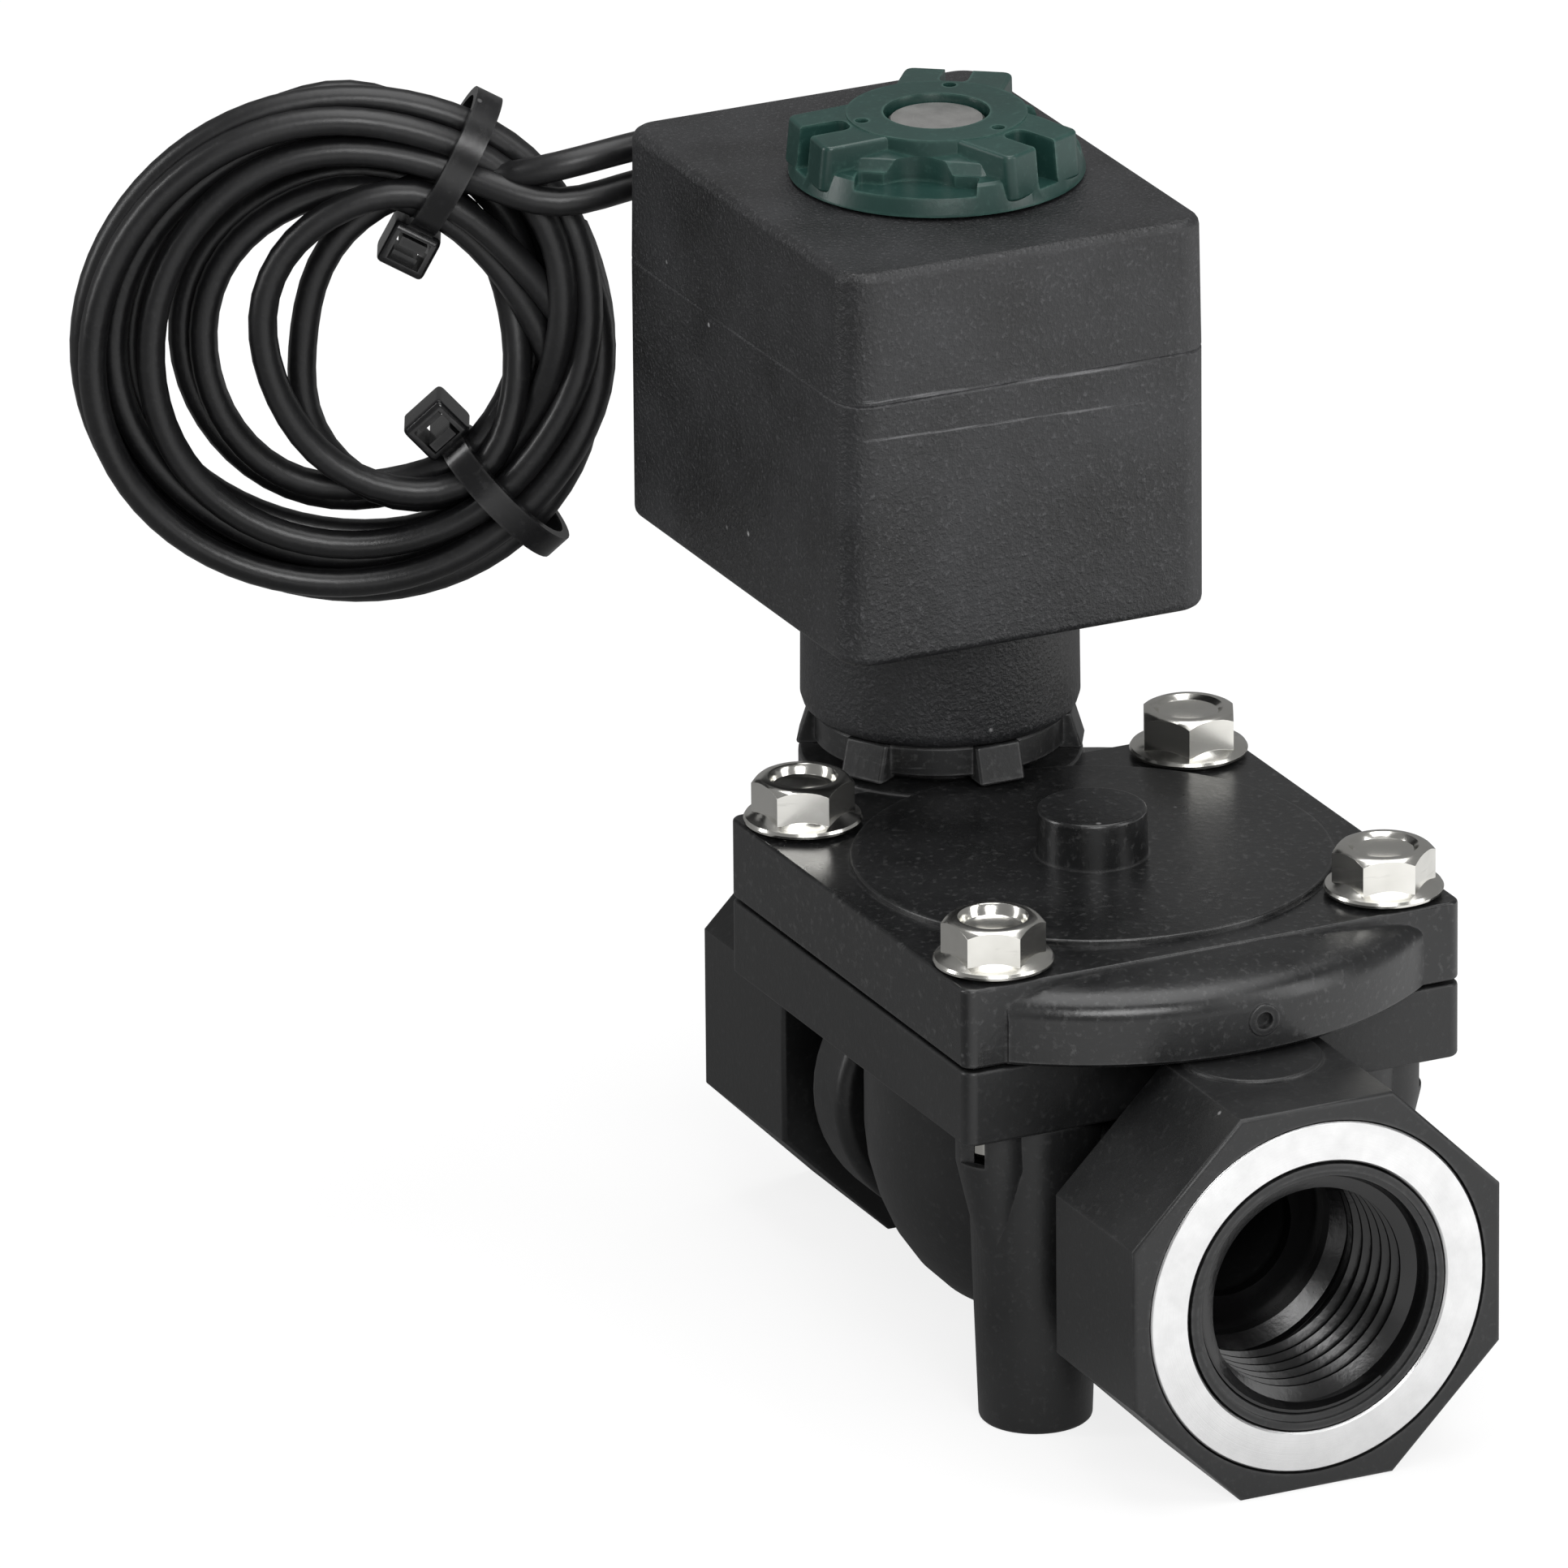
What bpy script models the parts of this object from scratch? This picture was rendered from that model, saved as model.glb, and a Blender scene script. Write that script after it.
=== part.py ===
"""Pilot-operated solenoid valve with half-inch ports, a swivelling coil and tied flying leads.

All driving dimensions are in millimetres. X runs along the flow, from inlet to outlet, and Z is up.
The origin is at the bottom centre of the valve without its leads.
"""
import math

import bmesh
import bpy
from mathutils import Matrix, Vector

for item in list(bpy.data.objects):
    bpy.data.objects.remove(item)

MM = 0.001
GAP = 0.3

# Main axes
VALVE_X = 6.5                    # diaphragm axis
TUBE_X = VALVE_X - 30.6          # core tube axis
PORT_Z = 18.0                    # both ports' axis
AXIS_V = (VALVE_X, 0, 0)
AXIS_T = (TUBE_X, 0, 0)

# Body
OUTLET_X = VALVE_X + 44.2
INLET_X = VALVE_X - 42.9
HEAD_FLATS = 36.0
OUTLET_HEAD_LENGTH = 15.6
INLET_HEAD_LENGTH = 16.5
PORT_R = 10.2                    # thread, as a plain bore
PORT_DEPTH = 17.5
PASSAGE_R = 6.4
FLANGE_X = (VALVE_X - 23.8, VALVE_X + 24.3)
FLANGE_Y = 24.4
FLANGE_Z = (29.25, 36.25)
FLANGE_CORNER = 1.2
BOWL_R = 20.4
CHAMBER_R = (8.9, 17.4)
CHAMBER_FLOOR = 9.5
SEAT_Z = 28.0
POST = (VALVE_X + 18.0, 14.7)
WINDOW_TURN = math.radians(-31)  # the post windows face the corners
RING_R = (12.5, 16.4)
RING_DEPTH = 3.0

# Cover and its screws
COVER_Z = 36.55
COVER_TOP = 44.0
DOME_R = 21.5
BULGE_R = 32.0
HUB_R = 12.8
CEILING_Z = 41.7
SCREW_AT = 19.2
SHANK_R = 2.4
SCREW_LENGTH = 14.0             # the pair on the outlet side is longer, down into the posts
POST_SCREW_LENGTH = 18.0

# Coil
COIL_X = (VALVE_X - 55.1, VALVE_X - 8.2)
COIL_Y = (-19.7, 16.2)
COIL_Z = (62.05, 98.85)
COIL_CORNER = 3.0
NECK_R = 12.6
NECK_Z = 48.3
COIL_BORE_R = 5.8
GROMMET_Y = -3.0
LEAD_Z = (93.0, 89.4)
LEAD_R = 1.325

# Tied bundle of leads: its plane stands upright, turned about Z
BUNDLE = (-67.4, -37.5, 74.8)
BUNDLE_TURN = math.radians(64.5)
BUNDLE_R = 19.5                  # middle of the turns
BUNDLE_HALF = (6.0, 4.2)         # half the section, across and through the ring

parts = bpy.data.collections.new("solenoid_valve")
cutters = bpy.data.collections.new("cutters")
for group in (parts, cutters):
    bpy.context.scene.collection.children.link(group)


def place(name, mesh, at=(0, 0, 0), turn=(0, 0, 0)):
    """Makes an object of a mesh drawn in millimetres."""
    mesh.transform(Matrix.Scale(MM, 4))
    mesh.shade_smooth()
    mesh.set_sharp_from_angle(angle=math.radians(35))
    part = bpy.data.objects.new(name, mesh)
    part.location = Vector(at) * MM
    part.rotation_euler = turn
    parts.objects.link(part)
    return part


def from_bmesh(name, bm, at=(0, 0, 0), turn=(0, 0, 0)):
    mesh = bpy.data.meshes.new(name)
    bm.to_mesh(mesh)
    bm.free()
    return place(name, mesh, at, turn)


def cylinder(name, radius, low, high, at=(0, 0, 0), along="Z", sides=32, top_radius=None, phase=0.0):
    """A cylinder, cone or prism from low to high on its axis through at."""
    bm = bmesh.new()
    bmesh.ops.create_cone(
        bm, cap_ends=True, segments=sides, radius1=radius, depth=high - low,
        radius2=radius if top_radius is None else top_radius,
    )
    bmesh.ops.rotate(bm, verts=bm.verts, matrix=Matrix.Rotation(phase, 3, "Z"))
    bmesh.ops.translate(bm, verts=bm.verts, vec=(0, 0, (low + high) / 2))
    return from_bmesh(name, bm, at, TURNS[along])


TURNS = {"Z": (0, 0, 0), "X": (0, math.pi / 2, 0)}


def box(name, low, high, corner=0.0, at=(0, 0, 0), turn=(0, 0, 0)):
    """A block whose upright edges may be rounded by the corner radius."""
    bm = bmesh.new()
    size = [b - a for a, b in zip(low, high)]
    bmesh.ops.create_cube(bm, size=1.0)
    bmesh.ops.scale(bm, verts=bm.verts, vec=size)
    bmesh.ops.translate(bm, verts=bm.verts, vec=[(a + b) / 2 for a, b in zip(low, high)])
    if corner:
        upright = [e for e in bm.edges if abs(e.verts[0].co.z - e.verts[1].co.z) > 0.9 * size[2]]
        bmesh.ops.bevel(
            bm, geom=upright, offset=corner, segments=3, profile=0.5, affect="EDGES", material=-1
        )
    return from_bmesh(name, bm, at, turn)


def turned(name, profile, at=(0, 0, 0), along="Z", steps=32):
    """A turned piece. The profile is (radius, height), down its outer side."""
    mesh = bpy.data.meshes.new(name)
    on_axis = profile[0][0] == 0 and profile[-1][0] == 0
    count = len(profile)
    links = [(i, i + 1) for i in range(count - 1)] + ([] if on_axis else [(count - 1, 0)])
    mesh.from_pydata([(r, 0, z) for r, z in profile], links, [])
    part = place(name, mesh, at, TURNS[along])
    screw = part.modifiers.new("turn", "SCREW")
    screw.axis = "Z"
    screw.steps = screw.render_steps = steps
    screw.use_merge_vertices = True
    screw.merge_threshold = 0.00001
    screw.use_smooth_shade = True
    return part


def boolean(part, other, operation):
    mod = part.modifiers.new(other.name, "BOOLEAN")
    mod.operation = operation
    mod.object = other
    parts.objects.unlink(other)
    cutters.objects.link(other)
    other.hide_render = True
    other.display_type = "WIRE"
    return part


def cut(part, *tools):
    for tool in tools:
        boolean(part, tool, "DIFFERENCE")
    return part


def join(part, *others):
    for other in others:
        boolean(part, other, "UNION")
    return part


def common(part, other):
    return boolean(part, other, "INTERSECT")


def finish(part, colour, roughness, metallic=0.0):
    """Gives a piece its own Principled material."""
    material = bpy.data.materials.new(part.name + "_finish")
    material.use_nodes = True
    shader = material.node_tree.nodes["Principled BSDF"]
    shader.inputs["Base Color"].default_value = (*colour, 1)
    shader.inputs["Roughness"].default_value = roughness
    shader.inputs["Metallic"].default_value = metallic
    part.data.materials.append(material)
    return part


BLACK_NYLON = ((0.018, 0.019, 0.020), 0.45)
COIL_BLACK = ((0.026, 0.027, 0.030), 0.60)
RUBBER = ((0.015, 0.015, 0.015), 0.75)
STEEL = ((0.55, 0.55, 0.54), 0.30, 1.0)
PLATED = ((0.78, 0.77, 0.74), 0.22, 1.0)
ALUMINIUM = ((0.88, 0.88, 0.89), 0.35, 1.0)
BRASS = ((0.72, 0.53, 0.25), 0.30, 1.0)
COPPER = ((0.72, 0.33, 0.16), 0.35, 1.0)
GREEN_NYLON = ((0.010, 0.065, 0.050), 0.38)
CREAM_NYLON = ((0.75, 0.72, 0.62), 0.5)


def port_head(name, low, high):
    """Octagonal wrench head round a port, with two flats level."""
    corner_radius = HEAD_FLATS / 2 / math.cos(math.pi / 8)
    return cylinder(name, corner_radius, low, high, (0, 0, PORT_Z), "X", 8, phase=math.pi / 8)


def oval_web(name, low, high, half_width, half_height):
    """Oval web or neck across the flow axis."""
    web = cylinder(name, 1.0, low, high, (0, 0, PORT_Z), "X", 24)
    for vertex in web.data.vertices:
        vertex.co.x *= half_height
        vertex.co.y *= half_width
    return web


def make_body():
    body = turned("valve_body", [
        (0, 33.0), (BOWL_R, 33.0), (BOWL_R, 19.0), (19.2, 12.5), (16.2, 7.5),
        (12.0, 4.2), (7.0, 3.0), (0, 3.0),
    ], AXIS_V, steps=32)
    join(
        body,
        box(
            "body_flange", (FLANGE_X[0], -FLANGE_Y, FLANGE_Z[0]), (FLANGE_X[1], FLANGE_Y, FLANGE_Z[1]),
            FLANGE_CORNER,
        ),
        port_head("outlet_head", OUTLET_X - OUTLET_HEAD_LENGTH, OUTLET_X),
        port_head("inlet_head", INLET_X, INLET_X + INLET_HEAD_LENGTH),
        oval_web("inlet_neck", INLET_X + 10, VALVE_X - 5, 14.0, 12.6),
        oval_web("outlet_neck", VALVE_X + 5, OUTLET_X - 10, 14.0, 12.6),
        oval_web("screw_web", VALVE_X - 20.7, VALVE_X - 14.2, 18.2, 14.6),
        cylinder("outlet_pad", 6.3, 30.0, 36.35, (VALVE_X + 31.4, 0, 0), sides=24),
    )
    for side in (-1, 1):
        join(
            body,
            cylinder(f"post_{side}", 5.1, 0.3, 31.0, (POST[0], side * POST[1], 0), sides=20, top_radius=6.5),
            cylinder(
                f"screw_boss_{side}", 3.3, 22.5, 31.0, (VALVE_X + SCREW_AT, side * SCREW_AT, 0), sides=14
            ),
        )
    cut(
        body,
        cylinder("chamber", CHAMBER_R[1], CHAMBER_FLOOR + 3, 40, AXIS_V, sides=32),
        cylinder("bead_groove", 21.0, 34.4, 40, AXIS_V, sides=32),
    )
    join(
        body,
        cylinder("seat_tube", CHAMBER_R[0], 11.0, SEAT_Z, AXIS_V, sides=32),
        cylinder("outlet_pipe", 8.2, VALVE_X, VALVE_X + 20, (0, 0, PORT_Z), "X", 24),
    )
    cut(
        body,
        cylinder("seat_bore", PASSAGE_R, 17.0, 40, AXIS_V, sides=24),
        cylinder("outlet_passage", PASSAGE_R - 0.2, VALVE_X + 0.5, OUTLET_X, (0, 0, PORT_Z), "X", 24),
        cylinder("inlet_passage", PASSAGE_R - 0.2, INLET_X, VALVE_X - 12, (0, 0, PORT_Z), "X", 24),
        cylinder("outlet_port", PORT_R, OUTLET_X - PORT_DEPTH, OUTLET_X + 1, (0, 0, PORT_Z), "X", 32),
        cylinder("inlet_port", PORT_R, INLET_X - 1, INLET_X + PORT_DEPTH, (0, 0, PORT_Z), "X", 32),
    )
    for name, face, way in (("outlet", OUTLET_X, -1), ("inlet", INLET_X, 1)):
        low, high = sorted((face - way, face + way * (RING_DEPTH + GAP)))
        cut(body, turned(f"{name}_ring_groove", [
            (RING_R[0] - GAP, high), (RING_R[1] + GAP, high), (RING_R[1] + GAP, low), (RING_R[0] - GAP, low),
        ], (0, 0, PORT_Z), "X", steps=32))
    for x, y in screw_places():
        cut(body, cylinder("insert_hole", 3.6, 29.7, 40, (x, y, 0), sides=12))
    for side in (-1, 1):
        x, y = POST[0], side * POST[1]
        cut(
            body,
            cylinder(f"screw_end_{side}", 2.7, 25.0, 32, (VALVE_X + SCREW_AT, side * SCREW_AT, 0), sides=12),
            box(f"post_window_{side}", (-2.0, -3.0, 25.2), (2.0, 3.0, 28.6),
                at=(VALVE_X + SCREW_AT + 1.4, side * (SCREW_AT + 2.6), 0), turn=(0, 0, -side * WINDOW_TURN)),
            cylinder(f"mount_hole_{side}", 3.3, 0, 8.6, (x, y, 0), sides=16),
        )
    finish(body, *BLACK_NYLON)


def screw_places():
    return [(VALVE_X + sx * SCREW_AT, sy * SCREW_AT) for sx, sy in ((1, -1), (-1, -1), (1, 1), (-1, 1))]


def make_port_rings():
    for name, face, way in (("outlet_port_ring", OUTLET_X, -1), ("inlet_port_ring", INLET_X, 1)):
        low, high = sorted((face, face + way * RING_DEPTH))
        finish(turned(name, [
            (RING_R[0], high), (RING_R[1], high), (RING_R[1], low), (RING_R[0], low),
        ], (0, 0, PORT_Z), "X", steps=32), *ALUMINIUM)


def make_cover():
    cover = box(
        "valve_cover", (FLANGE_X[0], -FLANGE_Y, COVER_Z), (FLANGE_X[1], FLANGE_Y, COVER_TOP), FLANGE_CORNER
    )
    bulge = turned("cover_bulge", [
        (0, 43.9), (26.0, 43.6), (30.6, 42.9), (31.6, 42.2), (BULGE_R, 41.2), (BULGE_R, COVER_Z),
        (0, COVER_Z),
    ], AXIS_V, steps=48)
    common(bulge, box("bulge_strip", (VALVE_X - 40, -20.4, 30), (VALVE_X + 40, 20.4, 50)))
    join(
        cover, bulge,
        cylinder("cover_hub", HUB_R, COVER_Z, 44.3, AXIS_T, sides=40),
        cylinder("cover_dome", DOME_R, 40, 44.5, AXIS_V, sides=36),
        cylinder("cover_boss", 4.95, 43, 48.85, AXIS_V, sides=24),
        cylinder("tube_stub", 8.6, 43, 46.3, AXIS_T, sides=24),
    )
    cut(
        cover,
        cylinder("spring_chamber", 17.3, 30, CEILING_Z, AXIS_V, sides=40),
        cylinder("tube_bore", 5.9, 39.5, 50, AXIS_T, sides=24),
        cylinder("o_ring_pocket", 7.6, 44.9, 50, AXIS_T, sides=24),
        cylinder("pilot_channel", 1.0, TUBE_X + 5, VALVE_X - 16, (0, 0, 40.6), "X", 8),
    )
    for x, y in screw_places():
        cut(cover, cylinder("screw_hole", 2.75, 30, 50, (x, y, 0), sides=16))
    finish(cover, *BLACK_NYLON)


def make_cover_fixings():
    for number, (x, y) in enumerate(screw_places(), 1):
        seat = COVER_TOP + GAP
        tip = seat - (POST_SCREW_LENGTH if x > VALVE_X else SCREW_LENGTH)
        screw = turned(f"cover_screw_{number}", [
            (0, seat + 2.0), (3.6, seat + 1.2), (5.35, seat + 0.6), (5.35, seat), (SHANK_R, seat),
            (SHANK_R, tip), (0, tip),
        ], (x, y, 0), steps=18)
        join(screw, cylinder("hex_head", 4.6, seat + 0.4, seat + 4.2, (x, y, 0), sides=6))
        cut(screw, cylinder("head_dish", 2.9, seat + 3.4, seat + 6, (x, y, 0), sides=12))
        finish(screw, *PLATED)
        finish(turned(f"cover_insert_{number}", [
            (SHANK_R + GAP, 36.0), (3.3, 36.0), (3.3, 30.0), (SHANK_R + GAP, 30.0),
        ], (x, y, 0), steps=12), *BRASS)
    for number, side in enumerate((-1, 1), 1):
        finish(turned(f"mount_insert_{number}", [
            (1.7, 8.3), (3.0, 8.3), (3.0, 0.3), (1.7, 0.3),
        ], (POST[0], side * POST[1], 0), steps=12), *BRASS)


def make_diaphragm_group():
    finish(turned("diaphragm", [
        (3.0, 32.4), (11.9, 32.4), (13.8, 33.2), (15.8, 36.1), (20.7, 36.1), (20.7, 34.7),
        (16.9, 34.7), (15.0, 31.9), (12.6, 31.2), (3.0, 31.2),
    ], AXIS_V, steps=28), *RUBBER)
    for name, profile, look in (
        ("seat_disc", [(2.3, 29.7), (8.8, 29.7), (8.8, 28.3), (2.3, 28.3)], RUBBER),
        ("disc_holder", [(2.3, 30.9), (11.4, 30.9), (11.4, 30.0), (2.3, 30.0)], STEEL),
        ("diaphragm_support", [
            (2.3, 33.9), (5.8, 33.9), (6.0, 33.3), (11.4, 33.3), (11.4, 32.7), (2.3, 32.7),
        ], BLACK_NYLON),
        ("diaphragm_nut", [(2.3, 36.2), (4.4, 36.2), (4.4, 34.2), (2.3, 34.2)], STEEL),
        ("diaphragm_screw", [
            (0, 36.8), (1.95, 36.8), (1.95, 28.0), (4.6, 28.0), (4.6, 26.6), (0, 26.6),
        ], STEEL),
    ):
        finish(turned(name, profile, AXIS_V, steps=6 if name == "diaphragm_nut" else 20), *look)
    coil_spring("main_spring", AXIS_V, 7.6, 0.45, 34.2, 41.2, 3, STEEL)


def coil_spring(name, at, radius, wire, low, high, turns, look, points=10):
    """Compression spring as a bevelled polyline helix."""
    curve = bpy.data.curves.new(name, "CURVE")
    curve.dimensions = "3D"
    curve.bevel_depth = wire * MM
    curve.bevel_resolution = 1
    curve.use_fill_caps = True
    line = curve.splines.new("POLY")
    total = turns * points
    line.points.add(total)
    rise = high - low - 2 * wire
    for i, point in enumerate(line.points):
        angle = 2 * math.pi * i / points
        height = low + wire + rise * i / total
        point.co = (radius * math.cos(angle) * MM, radius * math.sin(angle) * MM, height * MM, 1)
    spring = bpy.data.objects.new(name, curve)
    spring.location = Vector(at) * MM
    parts.objects.link(spring)
    return finish(spring, *look)


def make_pilot_group():
    for name, profile, look in (
        ("pilot_seat", [
            (0.5, 42.0), (1.1, 42.0), (1.6, 41.0), (3.2, 41.0), (3.2, 39.8), (0.5, 39.8),
        ], BRASS),
        ("core_tube", [
            (4.85, 83.9), (5.45, 83.9), (5.45, 47.3), (8.3, 47.3), (8.3, 46.6), (5.45, 46.6),
            (5.45, 42.2), (4.85, 42.2),
        ], STEEL),
        ("plunger_seal", [(0, 44.8), (2.5, 44.8), (2.5, 42.3), (0, 42.3)], RUBBER),
        ("plunger", [
            (0, 56.0), (2.5, 56.0), (2.5, 62.0), (4.5, 62.0), (4.5, 42.7), (2.8, 42.7),
            (2.8, 45.1), (0, 45.1),
        ], STEEL),
        ("shading_ring", [(3.2, 65.0), (3.9, 65.0), (3.9, 64.1), (3.2, 64.1)], COPPER),
        ("fixed_core", [
            (0, 103.9), (4.1, 103.9), (4.35, 103.6), (4.35, 98.7), (5.4, 98.7), (5.4, 84.3), (4.5, 84.3),
            (4.5, 64.0), (4.2, 64.0), (4.2, 65.3), (2.9, 65.3), (2.9, 64.0), (0, 64.0),
        ], STEEL),
        ("tube_o_ring", [
            (6.6 + 0.5 * math.sin(a), 45.75 + 0.5 * math.cos(a))
            for a in (i * math.pi / 3 for i in range(6))
        ], RUBBER),
    ):
        finish(turned(name, profile, AXIS_T, steps=18), *look)
    coil_spring("plunger_spring", AXIS_T, 1.8, 0.25, 56.35, 63.7, 4, STEEL, 8)


def make_bonnet_nut():
    nut = turned("bonnet_nut", [
        (6.0, 49.6), (9.8, 49.6), (9.8, 48.0), (11.4, 48.0), (11.4, 45.4), (8.95, 45.4),
        (8.95, 47.6), (6.0, 47.6),
    ], AXIS_T, steps=24)
    for step in range(6):
        join(nut, box(
            f"lug_{step}", (10.8, -2.2, 44.9), (12.85, 2.2, 47.8),
            at=AXIS_T, turn=(0, 0, step * math.pi / 3),
        ))
    finish(nut, *BLACK_NYLON)


def make_coil():
    housing = box(
        "coil_housing", (COIL_X[0], COIL_Y[0], COIL_Z[0]), (COIL_X[1], COIL_Y[1], COIL_Z[1]), COIL_CORNER
    )
    for vertex in housing.data.vertices:
        vertex.co.x -= TUBE_X * MM
    housing.location.x = TUBE_X * MM
    join(housing, turned("coil_neck", [
        (0, 66), (NECK_R, 66), (NECK_R, NECK_Z + 1.4), (NECK_R - 0.4, NECK_Z + 0.4),
        (NECK_R - 1.2, NECK_Z), (0, NECK_Z),
    ], AXIS_T, steps=32))
    cut(
        housing,
        cylinder("neck_hollow", 10.4, 40, 61, AXIS_T, sides=32),
        cylinder("coil_bore", COIL_BORE_R, 50, 110, AXIS_T, sides=24),
        box("winding_space", (-16.6, -13.2, 65.5), (16.6, 13.2, 95.5), at=AXIS_T),
        box(
            "grommet_pocket",
            (COIL_X[0] - 1, GROMMET_Y - 3.3, 86.1), (COIL_X[0] + 4.3, GROMMET_Y + 3.3, 96.3),
        ),
    )
    finish(housing, *COIL_BLACK)
    yoke = box("coil_yoke", (-16.2, -12.0, 65.9), (16.2, 12.0, 95.1), at=AXIS_T)
    cut(
        yoke,
        box("yoke_window", (-14.0, -20, 68.1), (14.0, 20, 92.9), at=AXIS_T),
        cylinder("yoke_bore", COIL_BORE_R, 60, 100, AXIS_T, sides=24),
    )
    finish(yoke, *STEEL)
    finish(turned("coil_bobbin", [
        (5.8, 92.6), (12.8, 92.6), (12.8, 91.5), (6.9, 91.5), (6.9, 69.5), (12.8, 69.5),
        (12.8, 68.4), (5.8, 68.4),
    ], AXIS_T, steps=20), *CREAM_NYLON)
    finish(turned("coil_winding", [
        (7.2, 91.2), (12.4, 91.2), (12.4, 69.8), (7.2, 69.8),
    ], AXIS_T, steps=20), *COPPER)
    finish(box(
        "lead_grommet", (COIL_X[0] - 2.1, GROMMET_Y - 3.0, 86.4), (COIL_X[0] + 4.0, GROMMET_Y + 3.0, 96.0)
    ), *RUBBER)


def make_cap():
    base = COIL_Z[1] + GAP
    cap = turned("retaining_cap", [
        (4.75, base + 5.4), (7.4, base + 5.4), (8.2, base + 4.2), (8.6, base + 2.4), (12.2, base + 2.4),
        (13.25, base + 0.6), (13.25, base), (4.75, base),
    ], AXIS_T, steps=28)
    for step in range(3):
        turn = (0, 0, math.radians(24.5 + 120 * step))
        spoke = box(f"spoke_{step}", (6.0, -4.9, base + 1.0), (12.4, 4.9, base + 5.0), at=AXIS_T, turn=turn)
        join(cap, spoke)
    for step in range(3):
        turn = (0, 0, math.radians(24.5 + 120 * step))
        slot = box(f"slot_{step}", (7.6, -1.3, base + 1.2), (14.0, 1.3, base + 8.0), at=AXIS_T, turn=turn)
        cut(cap, slot)
    finish(cap, *GREEN_NYLON)


def smooth_route(points, count):
    """Points along a Catmull-Rom curve through the route's own points."""
    p = [Vector(q) for q in points]
    p = [2 * p[0] - p[1]] + p + [2 * p[-1] - p[-2]]
    out = []
    for i in range(1, len(p) - 2):
        for k in range(count):
            t = k / count
            out.append(0.5 * (
                2 * p[i] + (p[i + 1] - p[i - 1]) * t
                + (2 * p[i - 1] - 5 * p[i] + 4 * p[i + 1] - p[i + 2]) * t * t
                + (3 * p[i] - p[i - 1] - 3 * p[i + 1] + p[i + 2]) * t ** 3
            ))
    return out + [p[-2]]


def lead_route(z_exit, drop):
    """Out of the grommet, round behind the housing and across the front of the bundle."""
    return [
        (COIL_X[0] - 2.4, GROMMET_Y, z_exit),
        (COIL_X[0] - 5.0, GROMMET_Y - 0.2, z_exit + 0.1),
        (COIL_X[0] - 7.2, GROMMET_Y - 2.6, z_exit + 0.4),
        (COIL_X[0] - 7.6, GROMMET_Y - 6.6, z_exit + 0.8),
        (COIL_X[0] - 6.4, GROMMET_Y - 11.0, z_exit + 1.1),
        (COIL_X[0] - 5.6, GROMMET_Y - 15.6, z_exit + 1.0),
        (COIL_X[0] - 6.0, GROMMET_Y - 20.2, z_exit + 0.6 - drop / 2),
    ]


def make_leads():
    for number, (z_exit, drop) in enumerate(zip(LEAD_Z, (0.6, 1.8)), 1):
        curve = bpy.data.curves.new(f"lead_{number}", "CURVE")
        curve.dimensions = "3D"
        curve.bevel_depth = LEAD_R * MM
        curve.bevel_resolution = 2
        curve.use_fill_caps = True
        route = smooth_route(lead_route(z_exit, drop), 2)
        line = curve.splines.new("POLY")
        line.points.add(len(route) - 1)
        for point, place_at in zip(line.points, route):
            point.co = (*(place_at * MM), 1)
        lead = bpy.data.objects.new(f"lead_{number}", curve)
        parts.objects.link(lead)
        finish(lead, *RUBBER)
    bundle = turned("lead_bundle", [
        (BUNDLE_R + BUNDLE_HALF[0] * math.sin(a), BUNDLE_HALF[1] * math.cos(a))
        for a in (i * math.pi / 5 for i in range(10))
    ], BUNDLE, steps=28)
    bundle.rotation_euler = (math.pi / 2, 0, BUNDLE_TURN)
    finish(bundle, *RUBBER)
    for number, angle in enumerate((62, -47), 1):
        make_tie(f"cable_tie_{number}", math.radians(angle))


def make_tie(name, angle):
    """A strap round the bundle's section, with its head inside the ring."""
    bm = bmesh.new()
    thickness, width, head = 0.9, 2.5, 4.6
    inner = [half + 0.35 for half in BUNDLE_HALF]
    bmesh.ops.create_cone(bm, cap_ends=True, segments=24, radius1=1, radius2=1, depth=width)
    bmesh.ops.scale(bm, verts=bm.verts, vec=(inner[0] + thickness, inner[1] + thickness, 1))
    strap = from_bmesh(name, bm)
    bm = bmesh.new()
    bmesh.ops.create_cone(bm, cap_ends=True, segments=24, radius1=1, radius2=1, depth=width * 2)
    bmesh.ops.scale(bm, verts=bm.verts, vec=(inner[0], inner[1], 1))
    hole = from_bmesh(name + "_hole", bm)
    lock = box(
        name + "_head", (-inner[0] - head, -head / 2, -head / 2), (-inner[0] - 0.3, head / 2, head / 2)
    )
    turn = bundle_matrix(angle)
    for piece in (strap, hole, lock):
        piece.data.transform(turn.to_4x4())
        piece.location = Vector(BUNDLE) * MM + turn @ Vector((BUNDLE_R * MM, 0, 0))
    cut(join(strap, lock), hole)
    finish(strap, *BLACK_NYLON)


def bundle_matrix(angle):
    """Axes of a section of the bundle: outwards, through the ring, and along the turns."""
    across = Vector((math.cos(BUNDLE_TURN), math.sin(BUNDLE_TURN), 0))
    up = Vector((0, 0, 1))
    outwards = across * math.cos(angle) + up * math.sin(angle)
    through = across.cross(up)
    along = outwards.cross(through)
    return Matrix((outwards, through, along)).transposed()


def hang_on_axis(name, at, *pieces):
    """Parents the pieces of a turning body to an empty on its axis."""
    axis = bpy.data.objects.new(name, None)
    axis.location = Vector(at) * MM
    parts.objects.link(axis)
    for piece in pieces:
        child = bpy.data.objects[piece]
        child.parent = axis
        child.matrix_parent_inverse = Matrix.Translation(-axis.location)


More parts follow.
